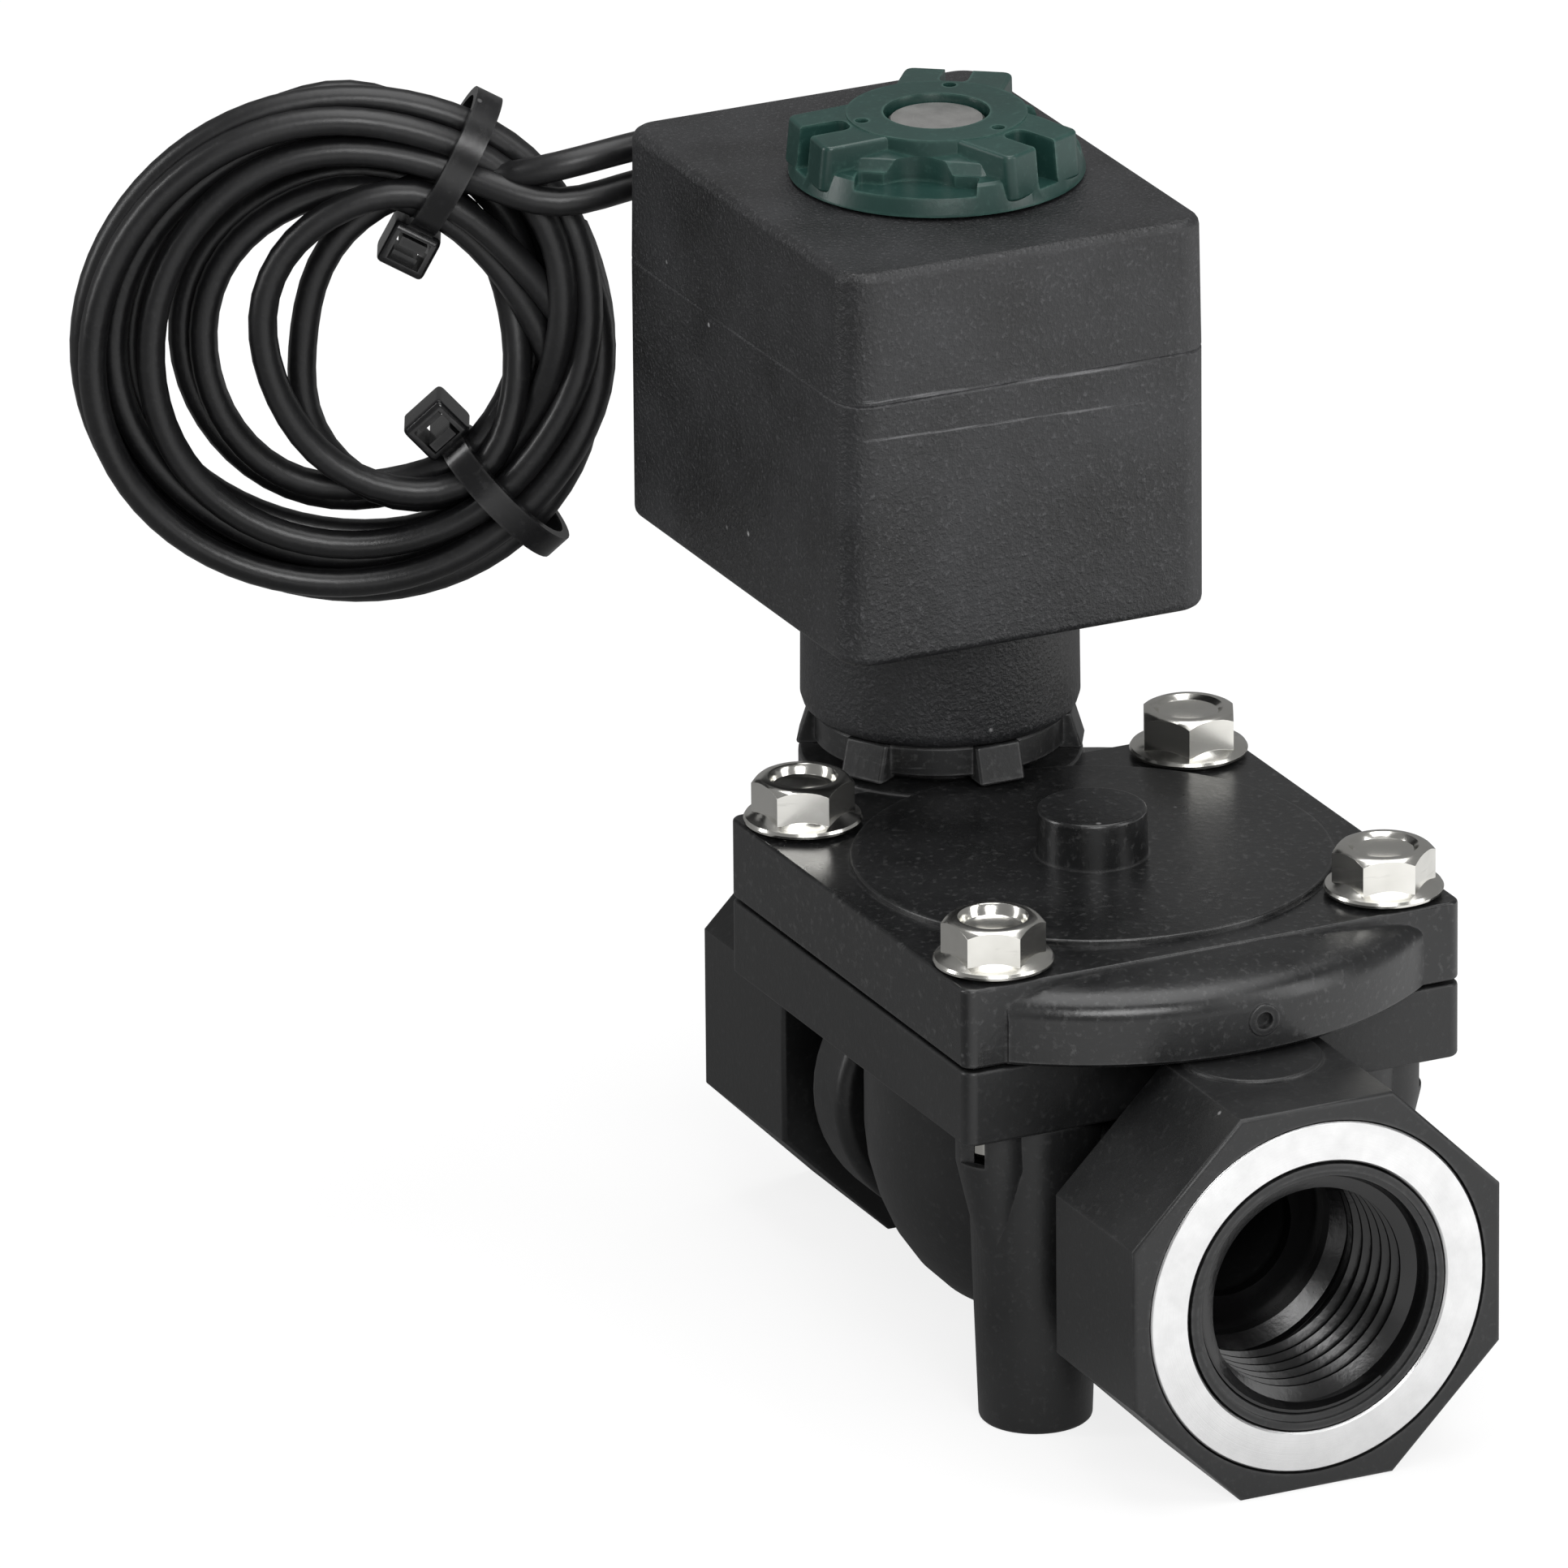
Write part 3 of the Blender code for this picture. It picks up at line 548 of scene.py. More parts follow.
def carve(name, base, joined=(), removed=(), shared=(), rounding=0.0, steps=2, limit=32):
    """Joins, cuts and intersects closed shapes in that order, then rounds the edges that are left sharp."""
    piece = shape_object(name, base)
    tools = []
    for operation, shapes in (("INTERSECT", shared), ("UNION", joined), ("DIFFERENCE", removed)):
        for shape in shapes:
            tool = shape_object(name + "_tool", shape)
            fuse = piece.modifiers.new("fuse", "BOOLEAN")
            fuse.operation, fuse.object, fuse.solver = operation, tool, "EXACT"
            tools.append(tool)
    graph = bpy.context.evaluated_depsgraph_get()
    mesh = bpy.data.meshes.new_from_object(piece.evaluated_get(graph))
    piece.modifiers.clear()
    piece.data = mesh
    for tool in tools:
        bpy.data.objects.remove(tool)
    bm = bmesh.new()
    bm.from_mesh(mesh)
    bmesh.ops.remove_doubles(bm, verts=bm.verts, dist=2e-6)
    bmesh.ops.dissolve_degenerate(bm, dist=2e-6, edges=bm.edges)
    bm.to_mesh(mesh)
    bm.free()
    mesh.shade_smooth()
    mesh.set_sharp_from_angle(angle=math.radians(32))
    if rounding:
        bevel = piece.modifiers.new("rounded_edges", "BEVEL")
        bevel.width, bevel.segments = rounding * MM, steps
        bevel.limit_method, bevel.angle_limit = "ANGLE", math.radians(limit)
        bevel.use_clamp_overlap = True
    weighted = piece.modifiers.new("flat_faces", "WEIGHTED_NORMAL")
    weighted.keep_sharp = True
    weighted.weight = 80
    return piece


def ring_section(bm, angle):
    """Moves a shape from a section's own axes (outwards, through, along) to its place on the ring."""
    outwards = ring_across * math.cos(angle) + ring_up * math.sin(angle)
    along = outwards.cross(ring_through)
    matrix = Matrix((outwards, ring_through, along)).transposed()
    bmesh.ops.rotate(bm, verts=bm.verts, cent=(0, 0, 0), matrix=matrix)
    bmesh.ops.translate(bm, verts=bm.verts, vec=RING_MIDDLE + outwards * RING_R)
    return bm


def strap_shape(grow, width):
    """The strap's own outline, extruded across its width."""
    bm = drum(1.0, -width / 2, width / 2, 40)
    bmesh.ops.scale(bm, verts=bm.verts, vec=(RING_HALF[0] + grow, RING_HALF[1] + grow, 1))
    return bm


tie_material = plastic("tie_nylon", (0.005, 0.005, 0.0055), (0.06, 0.06, 0.06), 0.24, 900.0, 0.00001,
                       edge=0.35, dust=0.4, mottle=0.2, rough_swing=0.06)
for number, angle in enumerate(TIE_ANGLES, 1):
    inside = -RING_HALF[0]
    head = slab((inside - TIE_HEAD, -TIE_HEAD / 2, -TIE_HEAD / 2), (inside - 0.3, TIE_HEAD / 2, TIE_HEAD / 2), 0.7, 0.45, 3)
    # the strap runs through the head towards the front, under the pawl, and is cut off there
    socket = slab((inside - TIE_HEAD + 0.8, -TIE_HEAD, -1.55), (inside - 1.0, TIE_HEAD, 1.55))
    pawl = slab((inside - TIE_HEAD + 0.6, -1.6, -1.2), (inside - TIE_HEAD + 1.5, 1.3, 1.2))
    tail = slab((inside - 2.1, -TIE_HEAD / 2 - 0.4, -1.25), (inside - 1.2, TIE_HEAD / 2 + 0.35, 1.25))
    tie = carve(
        f"tie_strap_{number}",
        ring_section(strap_shape(TIE_THICKNESS, TIE_WIDTH), angle),
        joined=[ring_section(head, angle)],
        removed=[ring_section(strap_shape(0.0, TIE_WIDTH * 2.4), angle), ring_section(socket, angle)],
    )
    hollow_head = bmesh.new()
    hollow_head.from_mesh(tie.data)
    bmesh.ops.scale(hollow_head, verts=hollow_head.verts, vec=(1 / MM, 1 / MM, 1 / MM))
    bpy.data.objects.remove(tie)
    tie = carve(
        f"tie_strap_{number}", hollow_head,
        joined=[ring_section(pawl, angle), ring_section(tail, angle)], rounding=0.14,
    )
    keep(tie, "coil", tie_material, "tie_nylon", f"cable_tie_{number}")


# Valve body: one glass-filled nylon moulding, satin black. It has two octagonal wrench heads
# with tapped ports, an oval bowl under the diaphragm, a square flange for the cover and two
# tapered posts with a slot where the long screws end.
VALVE_X, PORT_Z = 6.5, 18.0
TUBE_X = VALVE_X - 30.6
OUTLET_X, INLET_X = VALVE_X + 44.2, VALVE_X - 42.9
HEAD_FLATS = 36.0
OUTLET_HEAD, INLET_HEAD = 15.6, 16.5
FLANGE_X = (VALVE_X - 23.8, VALVE_X + 24.3)
FLANGE_Y, FLANGE_Z = 24.4, (29.25, 36.25)
BOWL_R, CHAMBER_R = 20.4, 17.4
POST_X, POST_Y = VALVE_X + 18.0, 14.7
SCREW_AT = 19.2
SCREWS = [(VALVE_X + sx * SCREW_AT, sy * SCREW_AT) for sx, sy in ((1, -1), (-1, -1), (1, 1), (-1, 1))]
RING_OUT, RING_IN, RING_DEPTH = 16.4, 12.5, 3.0
THREAD_ROOT, THREAD_CREST, THREAD_PITCH = 10.7, 9.45, 1.814
PORT_DEPTH = 17.5


def port_head(low, high):
    """The octagonal wrench head, with its edges broken as moulded."""
    bm = drum(HEAD_FLATS / 2 / math.cos(math.pi / 8), low, high, 8, phase=math.pi / 8)
    edges = [e for e in bm.edges if e.calc_face_angle() > 1.0]
    bmesh.ops.bevel(bm, geom=edges, offset=0.45, segments=3, profile=0.5, affect="EDGES", material=-1)
    return put(bm, (0, 0, PORT_Z), along="X")


def oval_web(low, high, half_width, half_height, rounding=0.8):
    bm = drum(1.0, low, high, 56)
    bmesh.ops.scale(bm, verts=bm.verts, vec=(half_height, half_width, 1))
    rims = [e for e in bm.edges if e.calc_face_angle() > 1.0]
    bmesh.ops.bevel(bm, geom=rims, offset=rounding, segments=4, profile=0.5, affect="EDGES", material=-1)
    return put(bm, (0, 0, PORT_Z), along="X")


def thread(low, turns):
    """A helical ridge with a flat crest, seated in the wall of the tapped bore."""
    bm = bmesh.new()
    half = THREAD_PITCH / 2
    outline = [(THREAD_ROOT + 0.25, -half * 0.96), (THREAD_ROOT, -half * 0.94), (THREAD_CREST, -half * 0.16),
               (THREAD_CREST, half * 0.16), (THREAD_ROOT, half * 0.94), (THREAD_ROOT + 0.25, half * 0.96)]
    face = bm.faces.new([bm.verts.new((r, 0, low + z)) for r, z in outline])
    steps = int(72 * turns)
    bmesh.ops.spin(bm, geom=[face, *face.edges, *face.verts], cent=(0, 0, 0), axis=(0, 0, 1),
                   dvec=(0, 0, THREAD_PITCH / 72), angle=2 * math.pi * turns, steps=steps)
    bmesh.ops.remove_doubles(bm, verts=bm.verts, dist=1e-4)
    bmesh.ops.recalc_face_normals(bm, faces=bm.faces)
    for vertex in bm.verts:
        # the crest runs out over the first and last third of a turn
        radius = math.hypot(vertex.co.x, vertex.co.y)
        share = (math.atan2(vertex.co.y, vertex.co.x) / (2 * math.pi)) % 1.0
        turn = share + round((vertex.co.z - low) / THREAD_PITCH - share)
        end = max(0.0, min(turn, turns - turn))
        if end < 0.35 and radius < THREAD_ROOT:
            grown = radius + (THREAD_ROOT + 0.05 - radius) * (1 - end / 0.35)
            vertex.co.x *= grown / radius
            vertex.co.y *= grown / radius
    return put(bm, (0, 0, PORT_Z), along="X")


def port_cutter(face, way):
    """The tapped bore with its chamfered mouth, and the seat that the metal ring is pressed into."""
    def at(depth):
        return face + way * depth
    bore = [(0, at(-1)), (11.7, at(-1)), (11.7, at(0.35)), (11.15, at(0.5)), (THREAD_ROOT, at(1.6)),
            (THREAD_ROOT, at(PORT_DEPTH - 2.2)), (9.4, at(PORT_DEPTH - 1.2)), (9.4, at(PORT_DEPTH)), (0, at(PORT_DEPTH))]
    seat = [(RING_IN - 0.1, at(-1)), (RING_OUT + 0.08, at(-1)), (RING_OUT + 0.08, at(RING_DEPTH + 0.3)),
            (RING_IN - 0.1, at(RING_DEPTH + 0.3))]
    return [put(lathe(outline, 96), (0, 0, PORT_Z), along="X") for outline in (bore, seat)]


def turned_about_valve(profile, steps=96):
    return put(lathe(profile, steps), (VALVE_X, 0, 0))


bowl = turned_about_valve([
    (0, 33.0), (BOWL_R, 33.0), (BOWL_R, 19.0), (20.1, 16.2), (19.2, 12.9), (17.9, 9.9), (16.2, 7.4), (14.2, 5.4),
    (12.0, 4.1), (9.6, 3.3), (7.0, 3.0), (0, 3.0),
])
body_shapes = [
    slab((FLANGE_X[0], -FLANGE_Y, FLANGE_Z[0]), (FLANGE_X[1], FLANGE_Y, FLANGE_Z[1]), 1.2, 0.35),
    port_head(OUTLET_X - OUTLET_HEAD, OUTLET_X),
    port_head(INLET_X, INLET_X + INLET_HEAD),
    oval_web(INLET_X + 10, VALVE_X - 5, 14.0, 12.6),
    oval_web(VALVE_X + 5, OUTLET_X - 10, 14.0, 12.6),
    oval_web(VALVE_X - 20.7, VALVE_X - 14.2, 18.2, 14.6, 1.3),
    put(drum(6.3, 30.0, 36.35, 48, rounding=0.3), (VALVE_X + 31.4, 0, 0)),
]
body_cuts = [
    turned_about_valve([(0, 40), (CHAMBER_R, 40), (CHAMBER_R, 12.5), (0, 12.5)]),
    turned_about_valve([(0, 40), (21.0, 40), (21.0, 34.4), (0, 34.4)]),
]
inner_shapes = [
    turned_about_valve([(0, 28.0), (8.3, 28.0), (8.9, 27.4), (8.9, 11.0), (0, 11.0)], 64),
    put(drum(8.2, VALVE_X, VALVE_X + 20, 48), (0, 0, PORT_Z), along="X"),
]
inner_cuts = [
    put(drum(6.4, 17.0, 40, 48), (VALVE_X, 0, 0)),
    put(drum(6.2, VALVE_X + 0.5, OUTLET_X, 48), (0, 0, PORT_Z), along="X"),
    put(drum(6.2, INLET_X, VALVE_X - 12, 48), (0, 0, PORT_Z), along="X"),
    *port_cutter(OUTLET_X, -1), *port_cutter(INLET_X, 1),
]
for x, y in SCREWS:
    inner_cuts.append(put(drum(3.6, 29.7, 40, 32), (x, y, 0)))
for side in (-1, 1):
    corner = (VALVE_X + SCREW_AT, side * SCREW_AT)
    body_shapes += [
        put(drum(5.05, 0.0, 31.0, 56, top_radius=6.15, rounding=0.4), (POST_X, side * POST_Y, 0)),
        put(lathe([(0, 31), (3.8, 31), (3.75, 25.5), (2.6, 20.5), (0.6, 14), (0, 14)], 40),
            (corner[0] - 0.1, corner[1] - side * 0.4, 0)),
    ]
    inner_cuts += [
        put(drum(2.45, 25.0, 32, 32), (*corner, 0)),
        put(slab((-1.75, -3.0, 25.9), (1.75, 3.0, 29.3)), (corner[0] + 1.2, corner[1] + side * 4.9, 0),
            turn=side * math.radians(31)),
        put(drum(3.3, -1, 8.6, 32), (POST_X, side * POST_Y, 0)),
    ]
body = carve("body_moulding", bowl, joined=body_shapes, removed=body_cuts)
bm = bmesh.new()
bm.from_mesh(body.data)
bmesh.ops.scale(bm, verts=bm.verts, vec=(1 / MM, 1 / MM, 1 / MM))
bpy.data.objects.remove(body)
body = carve("body_moulding", bm, joined=inner_shapes, removed=inner_cuts)
bm = bmesh.new()
bm.from_mesh(body.data)
for ridge in (thread(OUTLET_X - PORT_DEPTH + 3.4, 7.1), thread(INLET_X + 1.8, 7.1)):
    bmesh.ops.scale(ridge, verts=ridge.verts, vec=(MM, MM, MM))
    loose = bpy.data.meshes.new("thread")
    ridge.to_mesh(loose)
    ridge.free()
    bm.from_mesh(loose)
    bpy.data.meshes.remove(loose)
bm.to_mesh(body.data)
bm.free()
body.data.shade_smooth()
body.data.set_sharp_from_angle(angle=math.radians(32))
body_material = plastic("body_nylon", (0.0065, 0.0067, 0.0070), (0.10, 0.10, 0.10), 0.42, 1500.0, 0.00002,
                        edge=0.35, dust=0.35, mottle=0.12, rough_swing=0.07)
# inside the tapped bores the colour is darkened as painted shade, and the roughness is lowered so the crests shine
tree = body_material.node_tree
shader = tree.nodes["Principled BSDF"]
place = node(tree, "TexCoord").outputs["Object"]
across_flow = node(tree, "Mapping")
across_flow.inputs["Location"].default_value = (0, 0, -PORT_Z * MM)
across_flow.inputs["Scale"].default_value = (0, 1, 1)
from_axis = node(tree, "VectorMath", {"operation": "LENGTH"})
axes = node(tree, "SeparateXYZ")
tree.links.new(place, across_flow.inputs["Vector"])
tree.links.new(across_flow.outputs[0], from_axis.inputs[0])
tree.links.new(place, axes.inputs[0])
from_middle = maths(tree, "ABSOLUTE", maths(tree, "SUBTRACT", axes.outputs["X"], VALVE_X * MM), 0.0)
bore_shade_and_gloss = maths(tree, "MULTIPLY", ramp(tree, from_axis.outputs["Value"], 0.0110, 0.0112, 1.0, 0.0),
               ramp(tree, from_middle, 0.0250, 0.0256))
moulded = shader.inputs["Base Color"].links[0].from_socket
# painted shade: the colour inside the bores is mixed towards near black
tree.links.new(mix(tree, bore_shade_and_gloss, moulded, (0.004, 0.004, 0.0042)), shader.inputs["Base Color"])
gloss = shader.inputs["Roughness"].links[0].from_socket
drop = maths(tree, "MULTIPLY", bore_shade_and_gloss, 0.20)
tree.links.new(maths(tree, "SUBTRACT", gloss, drop), shader.inputs["Roughness"])
keep(body, "valve", body_material, "black_nylon", "valve_body")


# Port rings: turned aluminium rings pressed into both faces, left as machined. They give the
# pipe joint a hard face; fine rings from the tool show in the light.
def turned_metal(name, colour, roughness, centre, along, ring_scale, ring_height, tarnish=0.25):
    """Turned metal: fine concentric tool lines about an axis, with cloudy gloss."""
    material = bpy.data.materials.new(name)
    material.use_nodes = True
    tree = material.node_tree
    shader = tree.nodes["Principled BSDF"]
    shader.inputs["Metallic"].default_value = 1.0
    place = node(tree, "TexCoord").outputs["Object"]
    middle = node(tree, "Mapping")
    middle.inputs["Location"].default_value = tuple(-c * MM for c in centre)
    flat = node(tree, "Mapping")
    flat.inputs["Scale"].default_value = tuple(0.0 if axis == along else 1.0 for axis in "XYZ")
    length = node(tree, "VectorMath", {"operation": "LENGTH"})
    tree.links.new(place, middle.inputs["Vector"])
    tree.links.new(middle.outputs[0], flat.inputs["Vector"])
    tree.links.new(flat.outputs[0], length.inputs[0])
    lines = node(tree, "TexNoise", {"noise_dimensions": "1D"}, Scale=ring_scale, Detail=4.0, Roughness=0.7)
    tree.links.new(length.outputs["Value"], lines.inputs["W"])
    cloud = node(tree, "TexNoise", Scale=260.0, Detail=4.0, Roughness=0.65)
    tree.links.new(place, cloud.inputs["Vector"])
    dull = tuple(c * (1 - tarnish) for c in colour)
    tint = mix(tree, ramp(tree, cloud.outputs[0], 0.35, 0.7), colour, dull)
    tint = mix(tree, ramp(tree, lines.outputs[0], 0.5, 0.75, 0.0, 0.5), tint, dull)
    tree.links.new(tint, shader.inputs["Base Color"])
    tree.links.new(ramp(tree, cloud.outputs[0], 0.3, 0.7, roughness * 0.8, roughness * 1.25), shader.inputs["Roughness"])
    bump = node(tree, "Bump", Strength=1.0, Distance=ring_height)
    tree.links.new(lines.outputs[0], bump.inputs["Height"])
    tree.links.new(bump.outputs[0], shader.inputs["Normal"])
    return material


ring_material = turned_metal("turned_aluminium", (0.80, 0.80, 0.80), 0.34, (0, 0, PORT_Z), "X", 9000.0, 0.000012, 0.12)
for name, face, way in (("outlet", OUTLET_X, -1), ("inlet", INLET_X, 1)):
    inside = face + way * RING_DEPTH
    ring = shape_object(f"{name}_face_ring", put(lathe([
        (RING_IN + 0.12, inside), (RING_OUT - 0.1, inside), (RING_OUT - 0.1, face + way * 0.15),
        (RING_OUT - 0.25, face), (RING_IN + 0.3, face), (RING_IN + 0.12, face + way * 0.18),
    ], 128), (0, 0, PORT_Z), along="X"))
    keep(ring, "valve", ring_material, "aluminium", f"{name}_port_ring")


# Cover: a second nylon moulding over the diaphragm, with a raised round pad and a short
# boss on top, an arched wall over each port and a stub that carries the pilot's tube. The
# gate's pip and its drag marks are left on the arched wall.
COVER_Z, COVER_TOP = 36.55, 44.0
DOME_R, ARCH_R, ARCH_HALF = 21.5, 32.0, 20.4


def arched_wall():
    """The wall that bulges out over both ports, cut off straight at the sides."""
    bm = lathe([
        (0, COVER_Z), (ARCH_R - 0.35, COVER_Z), (ARCH_R, COVER_Z + 0.35), (ARCH_R, 40.6), (ARCH_R - 0.12, 41.4),
        (ARCH_R - 0.5, 42.1), (ARCH_R - 1.1, 42.6), (ARCH_R - 2.0, 42.95), (29.0, 43.2), (27.0, 43.5),
        (25.0, 43.75), (22.5, 43.95), (0, 43.95),
    ], 144)
    for way in (-1, 1):
        cut_faces = bmesh.ops.bisect_plane(
            bm, geom=[*bm.verts, *bm.edges, *bm.faces], plane_co=(0, way * ARCH_HALF, 0),
            plane_no=(0, way, 0), clear_outer=True)["geom_cut"]
        rim = [e for e in cut_faces if isinstance(e, bmesh.types.BMEdge)]
        bmesh.ops.holes_fill(bm, edges=rim)
    bmesh.ops.recalc_face_normals(bm, faces=bm.faces)
    return put(bm, (VALVE_X, 0, 0))


cover = carve(
    "cover_moulding",
    slab((FLANGE_X[0], -FLANGE_Y, COVER_Z), (FLANGE_X[1], FLANGE_Y, COVER_TOP), 1.2, 0.3),
    joined=[
        arched_wall(),
        put(drum(12.8, COVER_Z, 44.25, 72, rounding=0.3), (TUBE_X, 0, 0)),
        put(drum(DOME_R, 40, 44.5, 128, rounding=0.18), (VALVE_X, 0, 0)),
        put(drum(5.05, 43, 48.85, 64, top_radius=4.9, rounding=0.35), (VALVE_X, 0, 0)),
        put(drum(8.6, 43, 46.3, 64, rounding=0.2), (TUBE_X, 0, 0)),
        put(drum(1.5, 0, 0.35, 32, rounding=0.15), (VALVE_X + ARCH_R - 0.18, 0.9, 39.6), along="X"),
    ],
    removed=[
        put(drum(17.3, 30, 41.7, 64), (VALVE_X, 0, 0)),
        put(drum(5.9, 39.5, 50, 48), (TUBE_X, 0, 0)),
        put(drum(7.6, 44.9, 50, 48), (TUBE_X, 0, 0)),
        put(drum(1.0, TUBE_X + 5, VALVE_X - 16, 16), (0, 0, 40.6), along="X"),
        put(drum(0.8, -0.5, 0.6, 24), (VALVE_X + ARCH_R - 0.12, 0.9, 39.6), along="X"),
        *[put(drum(2.75, 30, 50, 32), (x, y, 0)) for x, y in SCREWS],
    ],
)
cover_material = plastic("cover_nylon", (0.0068, 0.0070, 0.0073), (0.12, 0.12, 0.12), 0.30, 1500.0, 0.00002,
                         edge=0.45, dust=0.4, mottle=0.25, rough_swing=0.12, scuffs=0.10)
keep(cover, "valve", cover_material, "black_nylon", "valve_cover")


# Cover screws: four zinc-plated hexagon flange screws, cold formed, so the head has a soft
# rim round a shallow dish. Each was driven home at its own angle.
HEX_FLATS, HEAD_SEAT = 8.0, 44.3
SCREW_TURNS = [math.radians(a) for a in (-25.5, -25.5, -20.0, 4.5)]
DISH_DEPTHS = (1.1, 1.0, 0.55, 0.5)


def screw_head_shapes(dish):
    """The hexagon under a crowned top, and the dish with its soft rim."""
    hexagon = drum(HEX_FLATS / 2 / math.cos(math.pi / 6), 0.5, 4.2, 6)
    crown = lathe([(0, 0), (5.2, 0), (5.2, 3.1), (4.55, 3.6), (4.15, 3.95), (3.75, 4.15), (3.4, 4.2), (0, 4.2)], 64)
    flange = lathe([
        (0, 0.0), (5.05, 0.0), (5.3, 0.12), (5.35, 0.35), (5.2, 0.6), (4.9, 0.72), (4.4, 0.92), (3.9, 1.3),
        (3.7, 1.6), (0, 1.6),
    ], 64)
    hollow = lathe([
        (0, 4.3), (3.25, 4.3), (3.05, 4.12), (2.85, 4.2 - dish * 0.5), (2.7, 4.2 - dish * 0.85),
        (2.45, 4.2 - dish), (0, 4.2 - dish * 1.08),
    ], 48)
    return hexagon, crown, flange, hollow


screw_material = bpy.data.materials.new("zinc_plate")
screw_material.use_nodes = True
tree = screw_material.node_tree
shader = tree.nodes["Principled BSDF"]
shader.inputs["Metallic"].default_value = 1.0
surface = node(tree, "Group")
surface.node_tree = moulded_surface()
surface.inputs["Grain Scale"].default_value = 1400.0
tint = mix(tree, ramp(tree, surface.outputs["Cloud"], 0.35, 0.65), (0.80, 0.79, 0.75), (0.60, 0.59, 0.55))
tint = mix(tree, maths(tree, "MULTIPLY", surface.outputs["Scuff"], 0.5), tint, (0.42, 0.41, 0.38))
tree.links.new(tint, shader.inputs["Base Color"])
tree.links.new(ramp(tree, surface.outputs["Cloud"], 0.3, 0.7, 0.12, 0.27), shader.inputs["Roughness"])
bump = node(tree, "Bump", Strength=0.6, Distance=0.000025)
tree.links.new(surface.outputs["Cloud"], bump.inputs["Height"])
tree.links.new(bump.outputs[0], shader.inputs["Normal"])
for number, ((x, y), turn, dish) in enumerate(zip(SCREWS, SCREW_TURNS, DISH_DEPTHS), 1):
    hexagon, crown, flange, hollow = screw_head_shapes(dish)
    tip = 18.0 if x > VALVE_X else 14.0
    shank = lathe([(0, 1.0), (2.4, 1.0), (2.4, -tip + 0.5), (1.9, -tip), (0, -tip)], 32)
    place = (x, y, HEAD_SEAT)
    screw = carve(
        f"flange_screw_{number}", put(hexagon, place, turn), shared=[put(crown, place)],
        joined=[put(flange, place), put(shank, place)], removed=[put(hollow, place)], rounding=0.14, steps=3,
    )
    keep(screw, "valve", screw_material, "plated_steel", f"cover_screw_{number}")


# Bonnet nut: a black nylon ring with six lugs for a hook spanner, which holds the pilot's
# tube down on the cover. Its flanks are scuffed where the tool slipped.
lugs = []
for step in range(6):
    lug = slab((10.4, -2.2, 44.9), (12.85, 2.2, 48.3), 0.35, 0.25, 3)
    top_outer = [v for v in lug.verts if v.co.z > 47.5 and v.co.x > 12.0]
    bmesh.ops.translate(lug, verts=top_outer, vec=(-0.9, 0, 0))
    lugs.append(put(lug, (TUBE_X, 0, 0), step * math.pi / 3))
nut = carve(
    "spanner_nut",
    put(lathe([(6.0, 47.6), (6.0, 49.6), (9.6, 49.6), (9.8, 49.4), (9.8, 48.3), (11.2, 48.3), (11.4, 48.0),
               (11.4, 45.6), (11.2, 45.4), (8.95, 45.4), (8.95, 47.6)], 96), (TUBE_X, 0, 0)),
    joined=lugs, rounding=0.15,
)
nut_material = plastic("nut_nylon", (0.0065, 0.0067, 0.0070), (0.14, 0.14, 0.14), 0.36, 1500.0, 0.00002,
                       edge=0.7, dust=0.5, mottle=0.2, scuffs=0.4)
keep(nut, "valve", nut_material, "black_nylon", "bonnet_nut")


# Coil housing: the winding is moulded into a charcoal epoxy block with a round skirt below.
# Its skin is slightly sandy, and the two halves of the mould met a third of the way down.
COIL_X, COIL_Y, COIL_Z = (VALVE_X - 55.1, VALVE_X - 8.2), (-19.7, 16.2), (62.05, 98.85)
NECK_R, NECK_Z, COIL_BORE_R = 12.6, 48.3, 5.8
SEAM_Z = 86.6


def coil_block():
    """The block with its rounded corners, a slight draft both ways from the mould's parting line."""
    bm = slab((COIL_X[0], COIL_Y[0], COIL_Z[0]), (COIL_X[1], COIL_Y[1], COIL_Z[1]), 3.0, 0.0, 10)
    level = [e for e in bm.edges if abs(e.verts[0].co.z - e.verts[1].co.z) < 1e-6]
    bmesh.ops.bevel(bm, geom=level, offset=0.9, segments=4, profile=0.5, affect="EDGES", material=-1)
    for height in (SEAM_Z - 0.16, SEAM_Z, SEAM_Z + 0.16):
        bmesh.ops.bisect_plane(bm, geom=[*bm.verts, *bm.edges, *bm.faces], plane_co=(0, 0, height), plane_no=(0, 0, 1))
    middle = Vector(((COIL_X[0] + COIL_X[1]) / 2, (COIL_Y[0] + COIL_Y[1]) / 2, 0))
    half = Vector(((COIL_X[1] - COIL_X[0]) / 2, (COIL_Y[1] - COIL_Y[0]) / 2, 0))
    seam = [v for v in bm.verts if abs(v.co.z - SEAM_Z) < 0.01]
    bmesh.ops.scale(bm, verts=seam, vec=(1 - 0.10 / half.x, 1 - 0.10 / half.y, 1), space=Matrix.Translation(-middle))
    upper = [v for v in bm.verts if v.co.z > COIL_Z[1] - 1.0]
    bmesh.ops.scale(bm, verts=upper, vec=(1 - 0.14 / half.x, 1 - 0.14 / half.y, 1), space=Matrix.Translation(-middle))
    return bm


